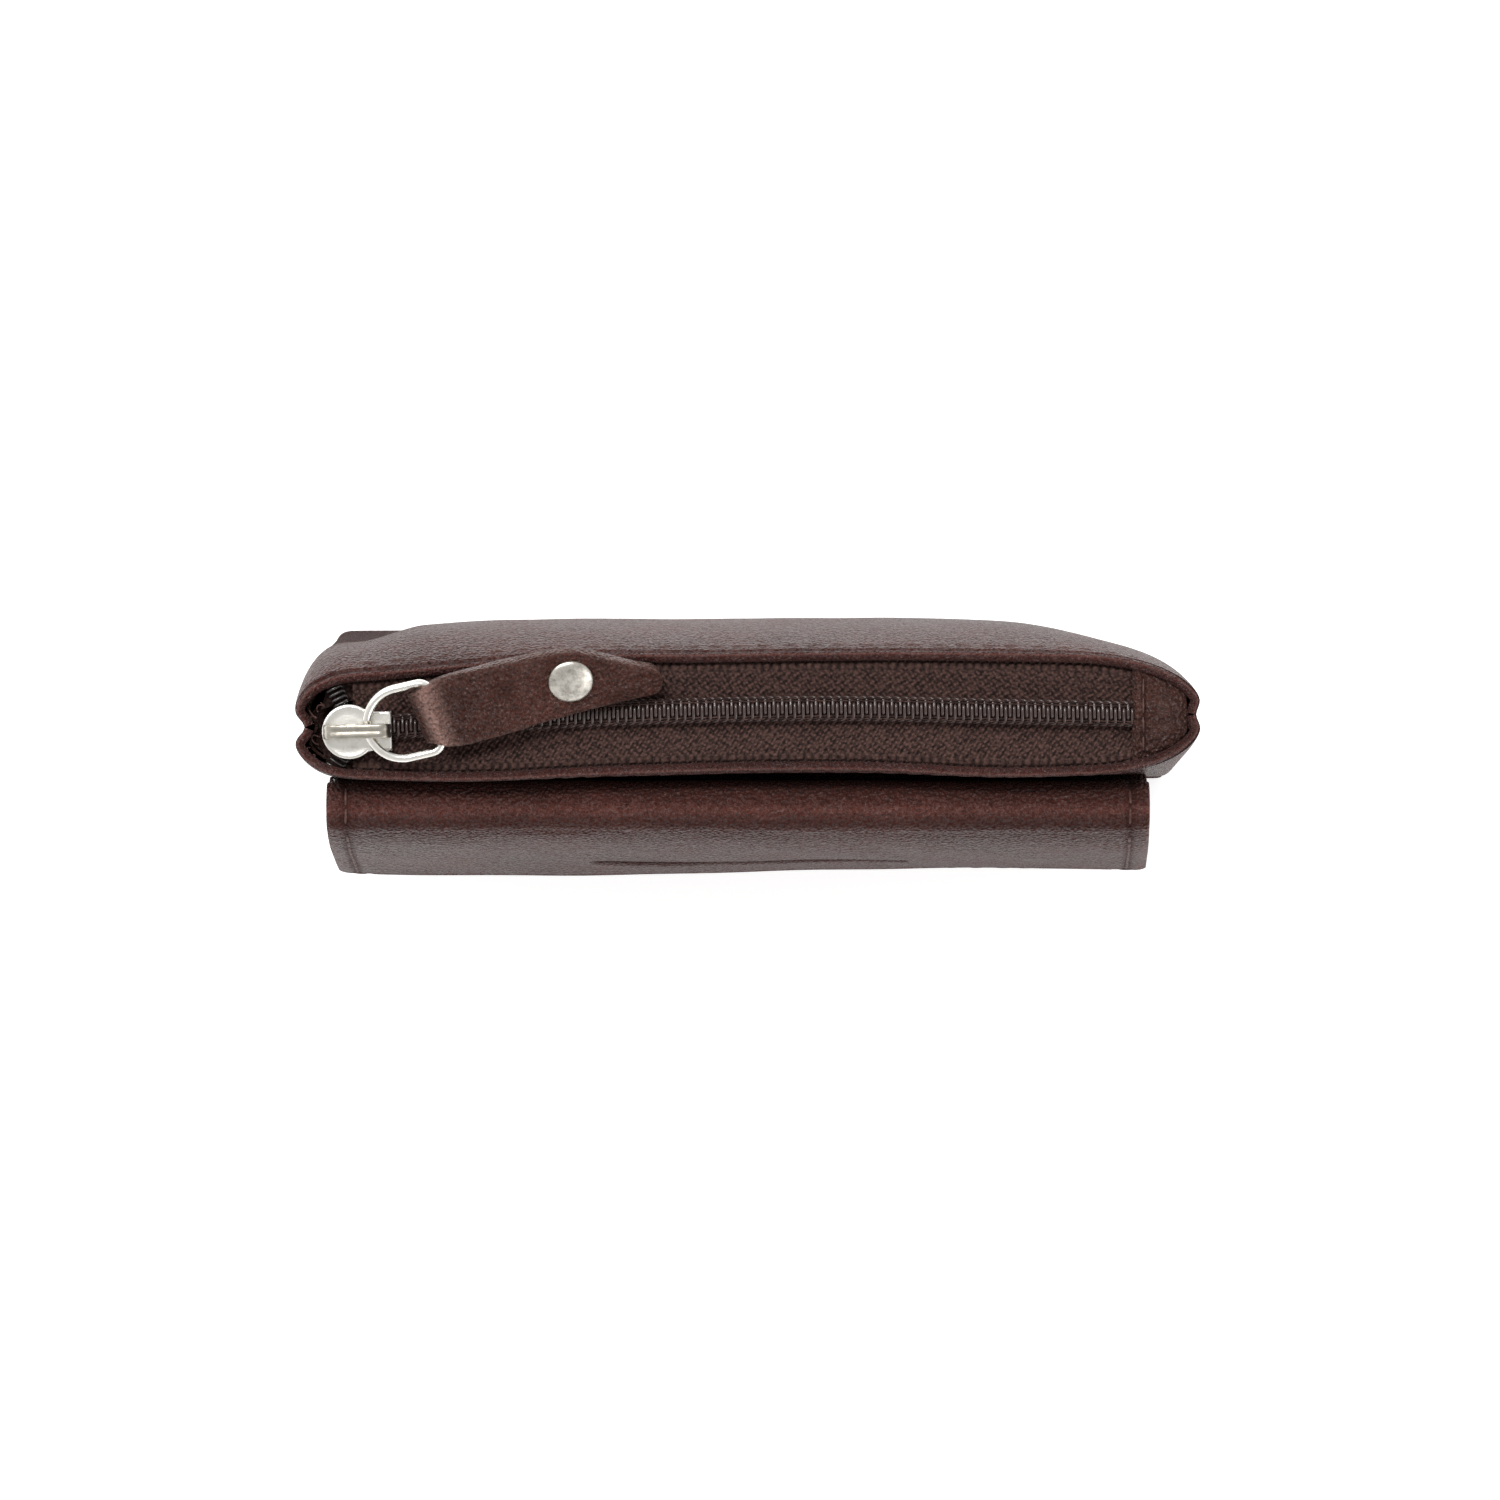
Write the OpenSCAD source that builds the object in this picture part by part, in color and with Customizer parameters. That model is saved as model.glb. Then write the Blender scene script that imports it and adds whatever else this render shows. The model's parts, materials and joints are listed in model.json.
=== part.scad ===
// Zippered leather pouch with a flap wallet on its front.
// +Z is up, the zip runs along X, the zip pocket is at +Y and the flap at -Y.
// The origin is on the surface that the pouch stands on, under the middle of its box.

/* [Pocket] */
// Overall width of the zip pocket
pocket_w = 123.4; // [118:0.1:128]
// Height of the lips beside the zip
lip_z = 93.2; // [90:0.1:98]
// Depth of the pocket's flat base
base_d = 21.4; // [19:0.1:23]
// Distance between the outer faces of the two lips
mouth_d = 17.1; // [16.5:0.1:18]
// Thickness of the pocket's leather
leather_t = 1.2; // [1:0.1:1.3]
// Thickness of the turned hem along each lip
hem_t = 1.9; // [1.7:0.1:2]

/* [Zip] */
// Pitch of the coil's loops
coil_pitch = 1.157; // [1.1:0.001:1.25]
// Diameter of the coil's filament
coil_wire = 0.5; // [0.45:0.01:0.52]
// Thickness of the woven tape
tape_t = 0.5; // [0.4:0.05:0.6]
// Diameter of the slider's round head
slider_head_d = 7.56; // [7.2:0.01:7.7]
// Distance that the slider travels
slider_travel = 101; // [90:1:101]

/* [Pull] */
// Diameter of the ring's wire
ring_wire = 1.2; // [1.1:0.05:1.3]
// Distance between the centres of the ring's two arms
ring_w = 9.8; // [9.6:0.1:10.2]
// Distance from the ring's pivot to its bar
ring_reach = 9.7; // [9.4:0.1:10]
// Turn of the ring and pull from the zip's line
ring_yaw = 13; // [8:1:16]
// Roll of the ring and pull, which lie with their back edge on the back lip
ring_roll = 12; // [0:1:14]
// Length of the leather pull from the ring's bar to its tip
pull_len = 32.5; // [30:0.5:36]
// Width of the leather pull
pull_w = 10.2; // [9.6:0.1:11]
// Diameter of the rivet's cap
rivet_d = 6.2; // [5.5:0.1:6.5]

/* [Wallet] */
// Width of the flap and the card section
wallet_w = 113.3; // [110:0.1:115]
// Sideways place of the wallet's middle
wallet_x = -1.65; // [-2:0.05:0]
// Height of the flap's free edge
flap_edge_z = 46; // [42:1:50]
// Outer face of the flap at its free edge
flap_edge_y = -18.05; // [-18.3:0.05:-17.8]
// Thickness of the flap's outer leather
flap_leather_t = 1.1; // [1:0.05:1.2]
// Thickness of the flap's lining
flap_lining_t = 0.8; // [0.7:0.05:0.85]

/* [Hidden] */
gap = 0.05;
stitch_pitch = 3.4;
stitch_len = 2.5;
stitch_r = 0.22;

// Pocket: its horizontal section is a superellipse, boxy at the base and pinched at the zip.
half_w = pocket_w / 2;
base_t = 1.2;
base_y = 6.8;
mouth_y = 3.7;
mouth_skew = 0.9;
lip_back_y = mouth_y + mouth_d / 2 + 0.75;
lip_front_y = lip_back_y - mouth_d;
bulge = 0.77;
base_n = 10;
mouth_n = 4.5;
function mix(a, b, f) = a + (b - a) * f;
function step01(f) = f < 0 ? 0 : f > 1 ? 1 : f * f * (3 - 2 * f);
function rise(z) = z / lip_z;
function seam_y(x, z) = mix(base_y, mouth_y + mouth_skew * pow(x / half_w, 5), rise(z));
function back_y(z) = base_y + base_d / 2 + bulge * sin(180 * rise(z))
    - (base_y + base_d / 2 - lip_back_y) * pow(rise(z), 6);
function front_y(z) = base_y - base_d / 2 - (base_y - base_d / 2 - lip_front_y) * pow(rise(z), 6);
function section_n(z) = mix(base_n, mouth_n, pow(rise(z), 2));
function round_off(t, n) = pow(max(0, 1 - pow(abs(t), n)), 1 / n);
function wall_depth(z, side) = side > 0 ? back_y(z) - seam_y(0, z) : seam_y(0, z) - front_y(z);
// Where the wall's face is at a place along X, inset from the outer surface.
function wall_y(x, z, inset, side) =
    seam_y(x, z) + side * (wall_depth(z, side) - inset) * round_off(x / (half_w - inset), section_n(z));
// A point of the pocket's wall, inset from the outer surface. side is 1 at the back and -1 at the front.
// turn runs from -90 at the left seam to 90 at the right one.
function wall(turn, z, inset, side) =
    let (
        n = section_n(z),
        c = sin(turn),
        s = cos(turn),
        reach = pow(pow(abs(c), n) + pow(abs(s), n), -1 / n),
        x = (half_w - inset) * c * reach
    )
    [x, seam_y(x, z) + side * (wall_depth(z, side) - inset) * s * reach, z];
// Turns spaced so that the corners, which lie near 45 degrees, are drawn finely.
function turns(count) = [for (i = [0:count]) let (f = 2 * i / count - 1) 90 * f];
function hem(z) = leather_t + (hem_t - leather_t) * step01((z - lip_z + 6) / 2);

// Zip: the chain lies along a line that leans slightly from the left end to the right one.
chain_left = [-54.9, 2.5];
chain_right = [53.4, 4.9];
chain_yaw = atan2(chain_right[1] - chain_left[1], chain_right[0] - chain_left[0]);
tape_z = 90.35;
tape_slot = 0.9;
coil_half_w = 2.0;
coil_overlap = 0.7;
coil_h = 1.1;
coil_z = tape_z + tape_t + gap + coil_h / 2;
coil_end_x = 52.6;
end_tab_x = 53;

// Slider, drawn about the centre of its round head.
slider_neck_end = 5.85;
slider_neck_w = 5.3;
slider_wall = 0.45;
slider_low_z = 89.2;
slider_plate_t = 0.8;
slider_top_z = 92.5;
slider_cap_t = 1.1;
flange_low_z = 91.15;
bridge_w = 1.95;
bridge_t = 0.8;
bridge_left = -3.3;
bridge_right = 5.5;
ring_x = 2.6;
ring_z = 95.4;
bridge_low_z = ring_z + ring_wire / 2 + 0.35;

// Pull strap, drawn about the ring's bar.
strap_t = 1.1;
strap_bore_r = ring_wire / 2 + 0.15;
strap_neck_w = 7.6;
rivet_x = 20.5;
rivet_post_r = 1;
rivet_back_t = 0.35;

// Wallet section, from the pocket outwards.
wallet_left = wallet_x - wallet_w / 2;
wallet_right = wallet_x + wallet_w / 2;
fold_y = -7.88;
fold_z = 85.3;
fold_r = 3.7;
fold_in_r = fold_r - flap_leather_t - flap_lining_t - gap;
fold_gap_angle = 30;
back_outer_y = fold_y + fold_r;
cavity_back_y = back_outer_y - 1.5;
card_base_y = -10.4;
card_t = 0.6;
card_base_top = 76;
card_tops = [72, 67, 62];
front_panel_top = 56;
front_panel_t = 1.1;
front_panel_y = card_base_y - 4 * (card_t + gap);
magnet_z = 50.5;
magnet_r = 4.5;
magnet_t = 0.6;
flap_top_y = fold_y - fold_r;
flap_slope = atan2(flap_top_y - flap_edge_y, fold_z - flap_edge_z);
flap_len = norm([flap_top_y - flap_edge_y, fold_z - flap_edge_z]);
flap_clear = 1.2;

leather_colour = "#46241f";
lining_colour = "#3a2622";
tape_colour = "#3b2a26";
thread_colour = "#2a1815";
metal_colour = "#b9b7ae";

// A closed sheet between two grids of points, each a list of rows.
module sheet(outer, inner) {
    rows = len(outer);
    cols = len(outer[0]);
    points = [for (grid = [outer, inner]) for (row = grid) each row];
    other = rows * cols;
    function at(i, j) = i * cols + j;
    faces = [
        for (i = [0:rows - 2]) for (j = [0:cols - 2])
            each [
                [at(i, j), at(i, j + 1), at(i + 1, j + 1)],
                [at(i, j), at(i + 1, j + 1), at(i + 1, j)],
                [other + at(i, j), other + at(i + 1, j + 1), other + at(i, j + 1)],
                [other + at(i, j), other + at(i + 1, j), other + at(i + 1, j + 1)],
            ],
        for (j = [0:cols - 2])
            each [
                [at(0, j), other + at(0, j), other + at(0, j + 1)],
                [at(0, j), other + at(0, j + 1), at(0, j + 1)],
                [at(rows - 1, j), other + at(rows - 1, j + 1), other + at(rows - 1, j)],
                [at(rows - 1, j), at(rows - 1, j + 1), other + at(rows - 1, j + 1)],
            ],
        for (i = [0:rows - 2])
            each [
                [at(i, 0), at(i + 1, 0), other + at(i + 1, 0)],
                [at(i, 0), other + at(i + 1, 0), other + at(i, 0)],
                [at(i, cols - 1), other + at(i + 1, cols - 1), at(i + 1, cols - 1)],
                [at(i, cols - 1), other + at(i, cols - 1), other + at(i + 1, cols - 1)],
            ],
    ];
    polyhedron(points, faces);
}

module pocket_wall(side, levels, inset_out, inset_in, count) {
    function grid(inset) = [
        for (z = levels) [for (turn = turns(count)) wall(turn, z, inset(z), side)]
    ];
    if (side > 0) sheet(grid(inset_in), grid(inset_out));
    else sheet(grid(inset_out), grid(inset_in));
}

module pocket_panel(side) {
    levels = [base_t + gap, 12, 28, 44, 60, 72, 80, lip_z - 6, lip_z - 4, lip_z];
    color(leather_colour) pocket_wall(side, levels, function(z) 0, function(z) hem(z), 28);
}

module pocket_lining(side) {
    levels = [base_t + 0.6, 20, 42, 62, 76, lip_z - 6.3];
    color(lining_colour)
        pocket_wall(side, levels, function(z) leather_t + 0.1, function(z) leather_t + 0.5, 20);
}

module pocket_base() {
    outline = [
        for (side = [1, -1]) for (turn = turns(24))
            let (p = wall(side * turn, 0, 0, side)) if (abs(turn) < 90 || side > 0) [p[0], p[1]]
    ];
    color(leather_colour) linear_extrude(base_t) polygon(outline);
}

// Height of the chain's line above the middle of the mouth, at a place along X.
function chain_y(x) = chain_left[1] + (x - chain_left[0]) * tan(chain_yaw);

module zip_tape(side) {
    left = -57.5;
    right = 57.5;
    steps = 22;
    inset = hem_t + 0.1;
    z = tape_z + tape_t / 2;
    edge = [for (i = [0:steps]) let (x = mix(left, right, i / steps)) [x, wall_y(x, z, inset, side)]];
    inner = [[right, chain_y(right) + side * tape_slot], [left, chain_y(left) + side * tape_slot]];
    color(tape_colour) translate([0, 0, tape_z]) linear_extrude(tape_t) polygon(concat(edge, inner));
}

// How far a row of the coil stands away from the closed chain, where it runs out through the slider's head.
function parting(x) = x > chain_left[0] + 1 ? 0 : 0.55 * (chain_left[0] + 1 - x);

// One turn of the coil, flattened: an oval ring of filament across the chain.
module coil_loop() {
    length = coil_half_w + coil_overlap;
    module oval(r) {
        for (end = [-1, 1]) translate([end * (length - coil_h) / 2, 0]) circle(r, $fn = 32);
        translate([-(length - coil_h) / 2, -r]) square([length - coil_h, 2 * r]);
    }
    rotate([90, 0, 90])
        translate([0, 0, -coil_wire / 2])
            linear_extrude(coil_wire)
                difference() {
                    oval(coil_h / 2);
                    oval(coil_h / 2 - 0.4);
                }
}

module zip_coil(side) {
    first = chain_left[0] - 2.9;
    start = first + (side > 0 ? 0 : 1.5 * coil_pitch);
    middle = (coil_half_w - coil_overlap) / 2;
    color("#241a18")
        for (x = [start:coil_pitch:coil_end_x])
            translate([x, chain_y(x) + side * (middle + parting(x)), coil_z]) coil_loop();
}

module zip_end_tab() {
    z = tape_z + tape_t + gap;
    inset = hem_t + 0.9;
    steps = 6;
    right = 59;
    function edge(f, side) = let (x = mix(end_tab_x, right, f)) [x, wall_y(x, z, inset, side)];
    back = [for (i = [0:steps]) edge(i / steps, 1)];
    front = [for (i = [steps:-1:0]) edge(i / steps, -1)];
    color(leather_colour) translate([0, 0, z]) linear_extrude(1.5) polygon(concat(back, front));
}

// One stitch: a short length of thread that lies along X before it is placed.
module stitch(length = stitch_len) {
    color(thread_colour)
        rotate([0, 90, 0]) cylinder(r = stitch_r, h = length, center = true, $fn = 16);
}

module zip_end_tab_stitching() {
    z = tape_z + tape_t + gap + 1.5 + stitch_r + gap;
    for (y = [1.1:stitch_pitch:9])
        translate([end_tab_x + 1.2, y, z]) rotate([0, 0, 90]) stitch();
}

module lip_stitching(side) {
    z = lip_z - 2.6;
    count = floor(104 / stitch_pitch);
    for (i = [0:count - 1]) {
        x = (i - (count - 1) / 2) * stitch_pitch;
        lean = atan2(wall_y(x + 1, z, 0, side) - wall_y(x - 1, z, 0, side), 2);
        translate([x, wall_y(x, z, 0, side) + side * (stitch_r + 0.05), z]) rotate([0, 0, lean]) stitch();
    }
}

// A flat panel of the wallet section that stands upright.
module wallet_panel(outer_y, t, low_z, top_z, left = wallet_left, right = wallet_right, r = 3) {
    color(leather_colour)
        translate([0, outer_y + t, 0])
            rotate([90, 0, 0])
                linear_extrude(t)
                    union() {
                        translate([left, low_z]) square([right - left, top_z - low_z - r]);
                        translate([left + r, top_z - 2 * r]) square([right - left - 2 * r, 2 * r]);
                        for (x = [left + r, right - r]) translate([x, top_z - r]) circle(r, $fn = 48);
                    }
}

module wallet_base() {
    color(leather_colour)
        translate([wallet_left, front_panel_y - front_panel_t, 0])
            cube([wallet_w, back_outer_y - front_panel_y + front_panel_t, base_t]);
}

module wallet_back_panel() {
    wallet_panel(back_outer_y - flap_leather_t, flap_leather_t, base_t + gap, fold_z, r = 0.5);
}

module wallet_back_lining() {
    color(lining_colour)
        wallet_panel(cavity_back_y, 0.35, base_t + gap, fold_z - 0.5, r = 0.5);
}

// A gusset folded inwards between the back panel and the card panels. side is -1 at the left.
module bill_gusset(side) {
    edge = side < 0 ? wallet_left + 0.4 : wallet_right - 0.4;
    reach = -side * 4.5;
    t = -side * 0.7;
    near = cavity_back_y - gap;
    far = card_base_y + gap;
    mid = (near + far) / 2;
    color(leather_colour)
        translate([0, 0, base_t + gap])
            linear_extrude(card_base_top - base_t - 2)
                polygon([
                    [edge, near], [edge + t, near], [edge + reach + t, mid],
                    [edge + t, far], [edge, far], [edge + reach, mid],
                ]);
}

module card_base_panel() {
    wallet_panel(card_base_y - card_t, card_t, base_t + gap, card_base_top);
}

module card_slot(index) {
    y = card_base_y - (index + 1) * (card_t + gap) - card_t;
    wallet_panel(y, card_t, base_t + gap, card_tops[index]);
}

module wallet_front_panel() {
    difference() {
        wallet_panel(front_panel_y - front_panel_t, front_panel_t, base_t + gap, front_panel_top, r = 4);
        translate([wallet_x, front_panel_y + 0.01, magnet_z])
            rotate([90, 0, 0]) cylinder(r = magnet_r + gap, h = magnet_t + 0.1, $fn = 64);
    }
}

module wallet_magnet() {
    color(metal_colour)
        translate([wallet_x, front_panel_y - gap, magnet_z])
            rotate([90, 0, 0]) cylinder(r = magnet_r, h = magnet_t - gap, $fn = 64);
}

module wallet_stitching() {
    y = front_panel_y - front_panel_t - stitch_r - gap;
    for (x = [wallet_left + 2.7, wallet_right - 2.7])
        for (z = [4:stitch_pitch:53]) translate([x, y, z]) rotate([0, 90, 0]) stitch();
}

// The flap's round fold over the top of the wallet, between two radii.
module flap_fold(r_out, r_in, colour) {
    arc = 180 - flap_slope - 2 * fold_gap_angle;
    color(colour)
        translate([wallet_left, fold_y, fold_z])
            rotate([90, 0, 90])
                linear_extrude(wallet_w)
                    rotate([0, 0, fold_gap_angle])
                        intersection() {
                            difference() {
                                circle(r_out, $fn = 96);
                                circle(r_in, $fn = 96);
                            }
                            polygon([
                                [0, 0], for (i = [0:4]) 2 * r_out * [cos(arc * i / 4), sin(arc * i / 4)],
                            ]);
                        }
}

// Places its children in the flap's own frame: X along the flap, Y down it from its fold, Z into it.
module on_flap() {
    translate([wallet_left, flap_top_y, fold_z]) rotate([-90 - flap_slope, 0, 0]) children();
}

module flap_plate(depth, t) {
    r = 3.5;
    on_flap()
        translate([0, 0, depth])
            linear_extrude(t)
                union() {
                    translate([0, flap_clear]) square([wallet_w, flap_len - flap_clear - r]);
                    translate([r, flap_len - 2 * r]) square([wallet_w - 2 * r, 2 * r]);
                    for (x = [r, wallet_w - r]) translate([x, flap_len - r]) circle(r, $fn = 48);
                }
}

module flap_leather() {
    color(leather_colour) flap_plate(0, flap_leather_t);
}

flap_magnet_y = flap_len - 3 - magnet_r;
flap_lining_depth = flap_leather_t + gap;

module flap_lining() {
    color(lining_colour)
        difference() {
            flap_plate(flap_lining_depth, flap_lining_t);
            on_flap()
                translate([wallet_w / 2, flap_magnet_y, flap_lining_depth - 0.5])
                    cylinder(r = magnet_r + gap, h = magnet_t + 0.5, $fn = 64);
        }
}

module flap_magnet() {
    color(metal_colour)
        on_flap()
            translate([wallet_w / 2, flap_magnet_y, flap_lining_depth + 0.02])
                cylinder(r = magnet_r, h = magnet_t - 2 * gap, $fn = 64);
}

module flap_stitching() {
    inset = 2.7;
    depth = -stitch_r - 0.01;
    on_flap() {
        for (y = [3:stitch_pitch:flap_len - 4]) for (x = [inset, wallet_w - inset])
            translate([x, y, depth]) rotate([0, 0, 90]) stitch();
        for (x = [inset + 3:stitch_pitch:wallet_w - inset - 3])
            translate([x, flap_len - 1.7, depth]) stitch();
    }
}

// Places its children about the slider's head, with X along the chain.
module on_slider() {
    translate([chain_left[0], chain_left[1], 0]) rotate([0, 0, chain_yaw]) children();
}

module slider_outline(shrink = 0) {
    circle(d = slider_head_d - 2 * shrink, $fn = 96);
    translate([0, -slider_neck_w / 2 + shrink])
        square([slider_neck_end + (shrink > 0 ? 1 : 0), slider_neck_w - 2 * shrink]);
}

module slider_flanges(low_z, height) {
    translate([0, 0, low_z])
        linear_extrude(height)
            difference() {
                slider_outline();
                slider_outline(slider_wall);
                translate([-slider_head_d, -slider_head_d / 2])
                    square([slider_head_d - 0.4, slider_head_d]);
            }
}

module slider_body() {
    plate_top = slider_low_z + slider_plate_t;
    color(metal_colour)
        on_slider()
            union() {
                translate([0, 0, slider_low_z]) linear_extrude(slider_plate_t) slider_outline();
                translate([0, 0, slider_top_z]) linear_extrude(slider_cap_t) slider_outline();
                slider_flanges(flange_low_z, slider_top_z - flange_low_z);
                translate([0, 0, plate_top])
                    linear_extrude(slider_top_z - plate_top)
                        polygon([[-3.5, -0.5], [-3.5, 0.5], [-1.6, 0.75], [-0.6, 0], [-1.6, -0.75]]);
            }
}

module slider_bridge() {
    low = slider_top_z + slider_cap_t + 0.02;
    high = bridge_low_z + bridge_t;
    foot = 0.9;
    color(metal_colour)
        on_slider()
            translate([0, bridge_w / 2, 0])
                rotate([90, 0, 0])
                    linear_extrude(bridge_w)
                        polygon([
                            [bridge_left, low], [bridge_left + foot, low],
                            [bridge_left + foot + 0.5, bridge_low_z], [bridge_right - foot, bridge_low_z],
                            [bridge_right - foot, low], [bridge_right, low],
                            [bridge_right, high - 0.3], [bridge_right - 0.4, high],
                            [bridge_left + foot + 0.3, high], [bridge_left, low + 0.9],
                        ]);
}

// Places its children about the ring's pivot, with X from the pivot to the ring's bar.
module on_ring() {
    on_slider()
        translate([ring_x, 0, ring_z])
            rotate([0, 0, ring_yaw - chain_yaw]) rotate([ring_roll, 0, 0]) children();
}

module d_ring() {
    r = ring_wire / 2;
    bow = ring_w / 2;
    corner = 1;
    color(metal_colour)
        on_ring()
            union() {
                translate([bow, 0, 0])
                    rotate([0, 0, 90])
                        rotate_extrude(angle = 180, $fn = 96) translate([bow, 0]) circle(r, $fn = 32);
                for (side = [1, -1]) {
                    translate([bow, side * bow, 0])
                        rotate([0, 90, 0]) cylinder(r = r, h = ring_reach - corner - bow, $fn = 32);
                    translate([ring_reach - corner, side * (bow - corner), 0])
                        rotate([0, 0, side > 0 ? 0 : -90])
                            rotate_extrude(angle = 90, $fn = 96) translate([corner, 0]) circle(r, $fn = 32);
                }
                translate([ring_reach, 0, 0])
                    rotate([90, 0, 0]) cylinder(r = r, h = ring_w - 2 * corner, center = true, $fn = 32);
            }
}

module on_pull() {
    on_ring() translate([ring_reach, 0, 0]) children();
}

module strap_plan() {
    shoulder = 4.5;
    widest = 23;
    tip_r = 1.6;
    polygon([
        [-3, -strap_neck_w / 2], [1.4, -strap_neck_w / 2], [shoulder, -pull_w / 2], [widest, -pull_w / 2],
        [pull_len - tip_r, -tip_r], [pull_len, -0.4], [pull_len, 0.4], [pull_len - tip_r, tip_r],
        [widest, pull_w / 2], [shoulder, pull_w / 2], [1.4, strap_neck_w / 2], [-3, strap_neck_w / 2],
    ]);
}

module pull_strap() {
    loop_r = strap_t + strap_bore_r;
    color(leather_colour)
        on_pull()
            difference() {
                intersection() {
                    translate([0, 0, -3]) linear_extrude(6) strap_plan();
                    translate([0, 10, 0])
                        rotate([90, 0, 0])
                            linear_extrude(20)
                                union() {
                                    circle(loop_r, $fn = 64);
                                    translate([0, -strap_t]) square([pull_len, 2 * strap_t]);
                                }
                }
                rotate([90, 0, 0]) cylinder(r = strap_bore_r, h = 30, center = true, $fn = 64);
                translate([rivet_x, 0, -3]) cylinder(r = rivet_post_r + gap, h = 6, $fn = 48);
            }
}

module pull_rivet() {
    cap_r = rivet_d / 2;
    color(metal_colour)
        on_pull()
            translate([rivet_x, 0, 0])
                rotate_extrude($fn = 96)
                    polygon([
                        [0, -strap_t - gap], [rivet_post_r, -strap_t - gap], [rivet_post_r, strap_t + 0.02],
                        [cap_r, strap_t + 0.02], [cap_r, strap_t + 0.25], [cap_r * 0.85, strap_t + 0.6],
                        [cap_r * 0.6, strap_t + 0.85], [cap_r * 0.3, strap_t + 0.98], [0, strap_t + 1.02],
                    ]);
}

module pull_rivet_back() {
    color(metal_colour)
        on_pull()
            translate([rivet_x, 0, -strap_t - rivet_back_t - gap])
                rotate_extrude($fn = 96)
                    polygon([
                        [0, 0], [2.3, 0], [2.6, 0.15], [2.6, rivet_back_t - 0.02], [0, rivet_back_t - 0.02],
                    ]);
}

pocket_base();
pocket_panel(1);  // pocket_back_panel
pocket_panel(-1);  // pocket_front_panel
pocket_lining(1);  // pocket_back_lining
pocket_lining(-1);  // pocket_front_lining
zip_tape(1);  // zip_tape_back
zip_tape(-1);  // zip_tape_front
zip_coil(1);  // zip_coil_back
zip_coil(-1);  // zip_coil_front
zip_end_tab();
zip_end_tab_stitching();
lip_stitching(1);  // back_lip_stitching
lip_stitching(-1);  // front_lip_stitching
wallet_base();
wallet_back_panel();
wallet_back_lining();
bill_gusset(-1);  // bill_gusset_left
bill_gusset(1);  // bill_gusset_right
card_base_panel();
card_slot(0);  // card_slot_upper
card_slot(1);  // card_slot_middle
card_slot(2);  // card_slot_lower
wallet_front_panel();
wallet_magnet();
wallet_stitching();
flap_fold(fold_r, fold_r - flap_leather_t, leather_colour);  // flap_fold_leather
flap_fold(fold_r - flap_leather_t - gap, fold_in_r, lining_colour);  // flap_fold_lining
flap_leather();
flap_lining();
flap_magnet();
flap_stitching();
slider_body();
slider_bridge();
d_ring();
pull_strap();
pull_rivet();
pull_rivet_back();
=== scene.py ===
"""A leather zip pouch with a flap wallet on its front, seen from straight above. Lengths are in millimetres
until a mesh is made, which is in metres."""

import json
import math

import bpy
import numpy as np
from mathutils import Matrix, Vector


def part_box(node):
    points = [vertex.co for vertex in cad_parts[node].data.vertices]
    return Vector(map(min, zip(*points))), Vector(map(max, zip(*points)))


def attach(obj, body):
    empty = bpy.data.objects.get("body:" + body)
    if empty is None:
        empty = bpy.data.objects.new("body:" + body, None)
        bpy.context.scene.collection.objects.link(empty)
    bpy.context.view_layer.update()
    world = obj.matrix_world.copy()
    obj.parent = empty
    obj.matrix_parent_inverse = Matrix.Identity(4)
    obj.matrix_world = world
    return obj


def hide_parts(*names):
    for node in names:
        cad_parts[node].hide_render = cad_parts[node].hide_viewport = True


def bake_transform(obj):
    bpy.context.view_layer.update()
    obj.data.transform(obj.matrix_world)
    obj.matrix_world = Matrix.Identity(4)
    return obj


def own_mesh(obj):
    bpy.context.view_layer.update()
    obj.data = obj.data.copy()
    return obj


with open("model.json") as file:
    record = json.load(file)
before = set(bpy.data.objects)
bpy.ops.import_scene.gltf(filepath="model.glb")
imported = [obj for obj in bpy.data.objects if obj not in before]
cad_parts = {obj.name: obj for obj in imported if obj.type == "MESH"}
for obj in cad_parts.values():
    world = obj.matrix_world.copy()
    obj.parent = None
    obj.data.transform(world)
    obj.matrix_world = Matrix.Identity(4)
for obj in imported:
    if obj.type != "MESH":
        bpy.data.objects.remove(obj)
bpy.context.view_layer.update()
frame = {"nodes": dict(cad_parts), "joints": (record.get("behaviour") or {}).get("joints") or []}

MM = 0.001
RNG = np.random.default_rng(7)


# ---------------------------------------------------------------- small tools


def span(node):
    """Lowest and highest corners of a CAD node, in millimetres."""
    low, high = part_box(node)
    return np.array(low) / MM, np.array(high) / MM


def smooth(t):
    t = np.clip(t, 0.0, 1.0)
    return t * t * (3 - 2 * t)


def curve_through(points):
    """A smooth function through a few given points, level beyond its ends."""
    xs, ys = (np.array(v, float) for v in zip(*points))
    slopes = np.gradient(ys, xs)

    def value(x):
        x = np.clip(x, xs[0], xs[-1])
        i = np.clip(np.searchsorted(xs, x) - 1, 0, len(xs) - 2)
        h = xs[i + 1] - xs[i]
        t = (x - xs[i]) / h
        start = (2 * t**3 - 3 * t**2 + 1) * ys[i] + (t**3 - 2 * t**2 + t) * h * slopes[i]
        end = (3 * t**2 - 2 * t**3) * ys[i + 1] + (t**3 - t**2) * h * slopes[i + 1]
        return start + end

    return value


def ripple(x, z, seed):
    """Slow, uneven waves of about one unit, for hand-made leather."""
    return (
        np.sin(x * 0.061 + seed) * np.cos(z * 0.083 + 1.7 * seed)
        + 0.55 * np.sin(x * 0.137 + 2.1 * seed + z * 0.05)
        + 0.3 * np.cos(x * 0.29 - z * 0.21 + 3.3 * seed)
    )


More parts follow.
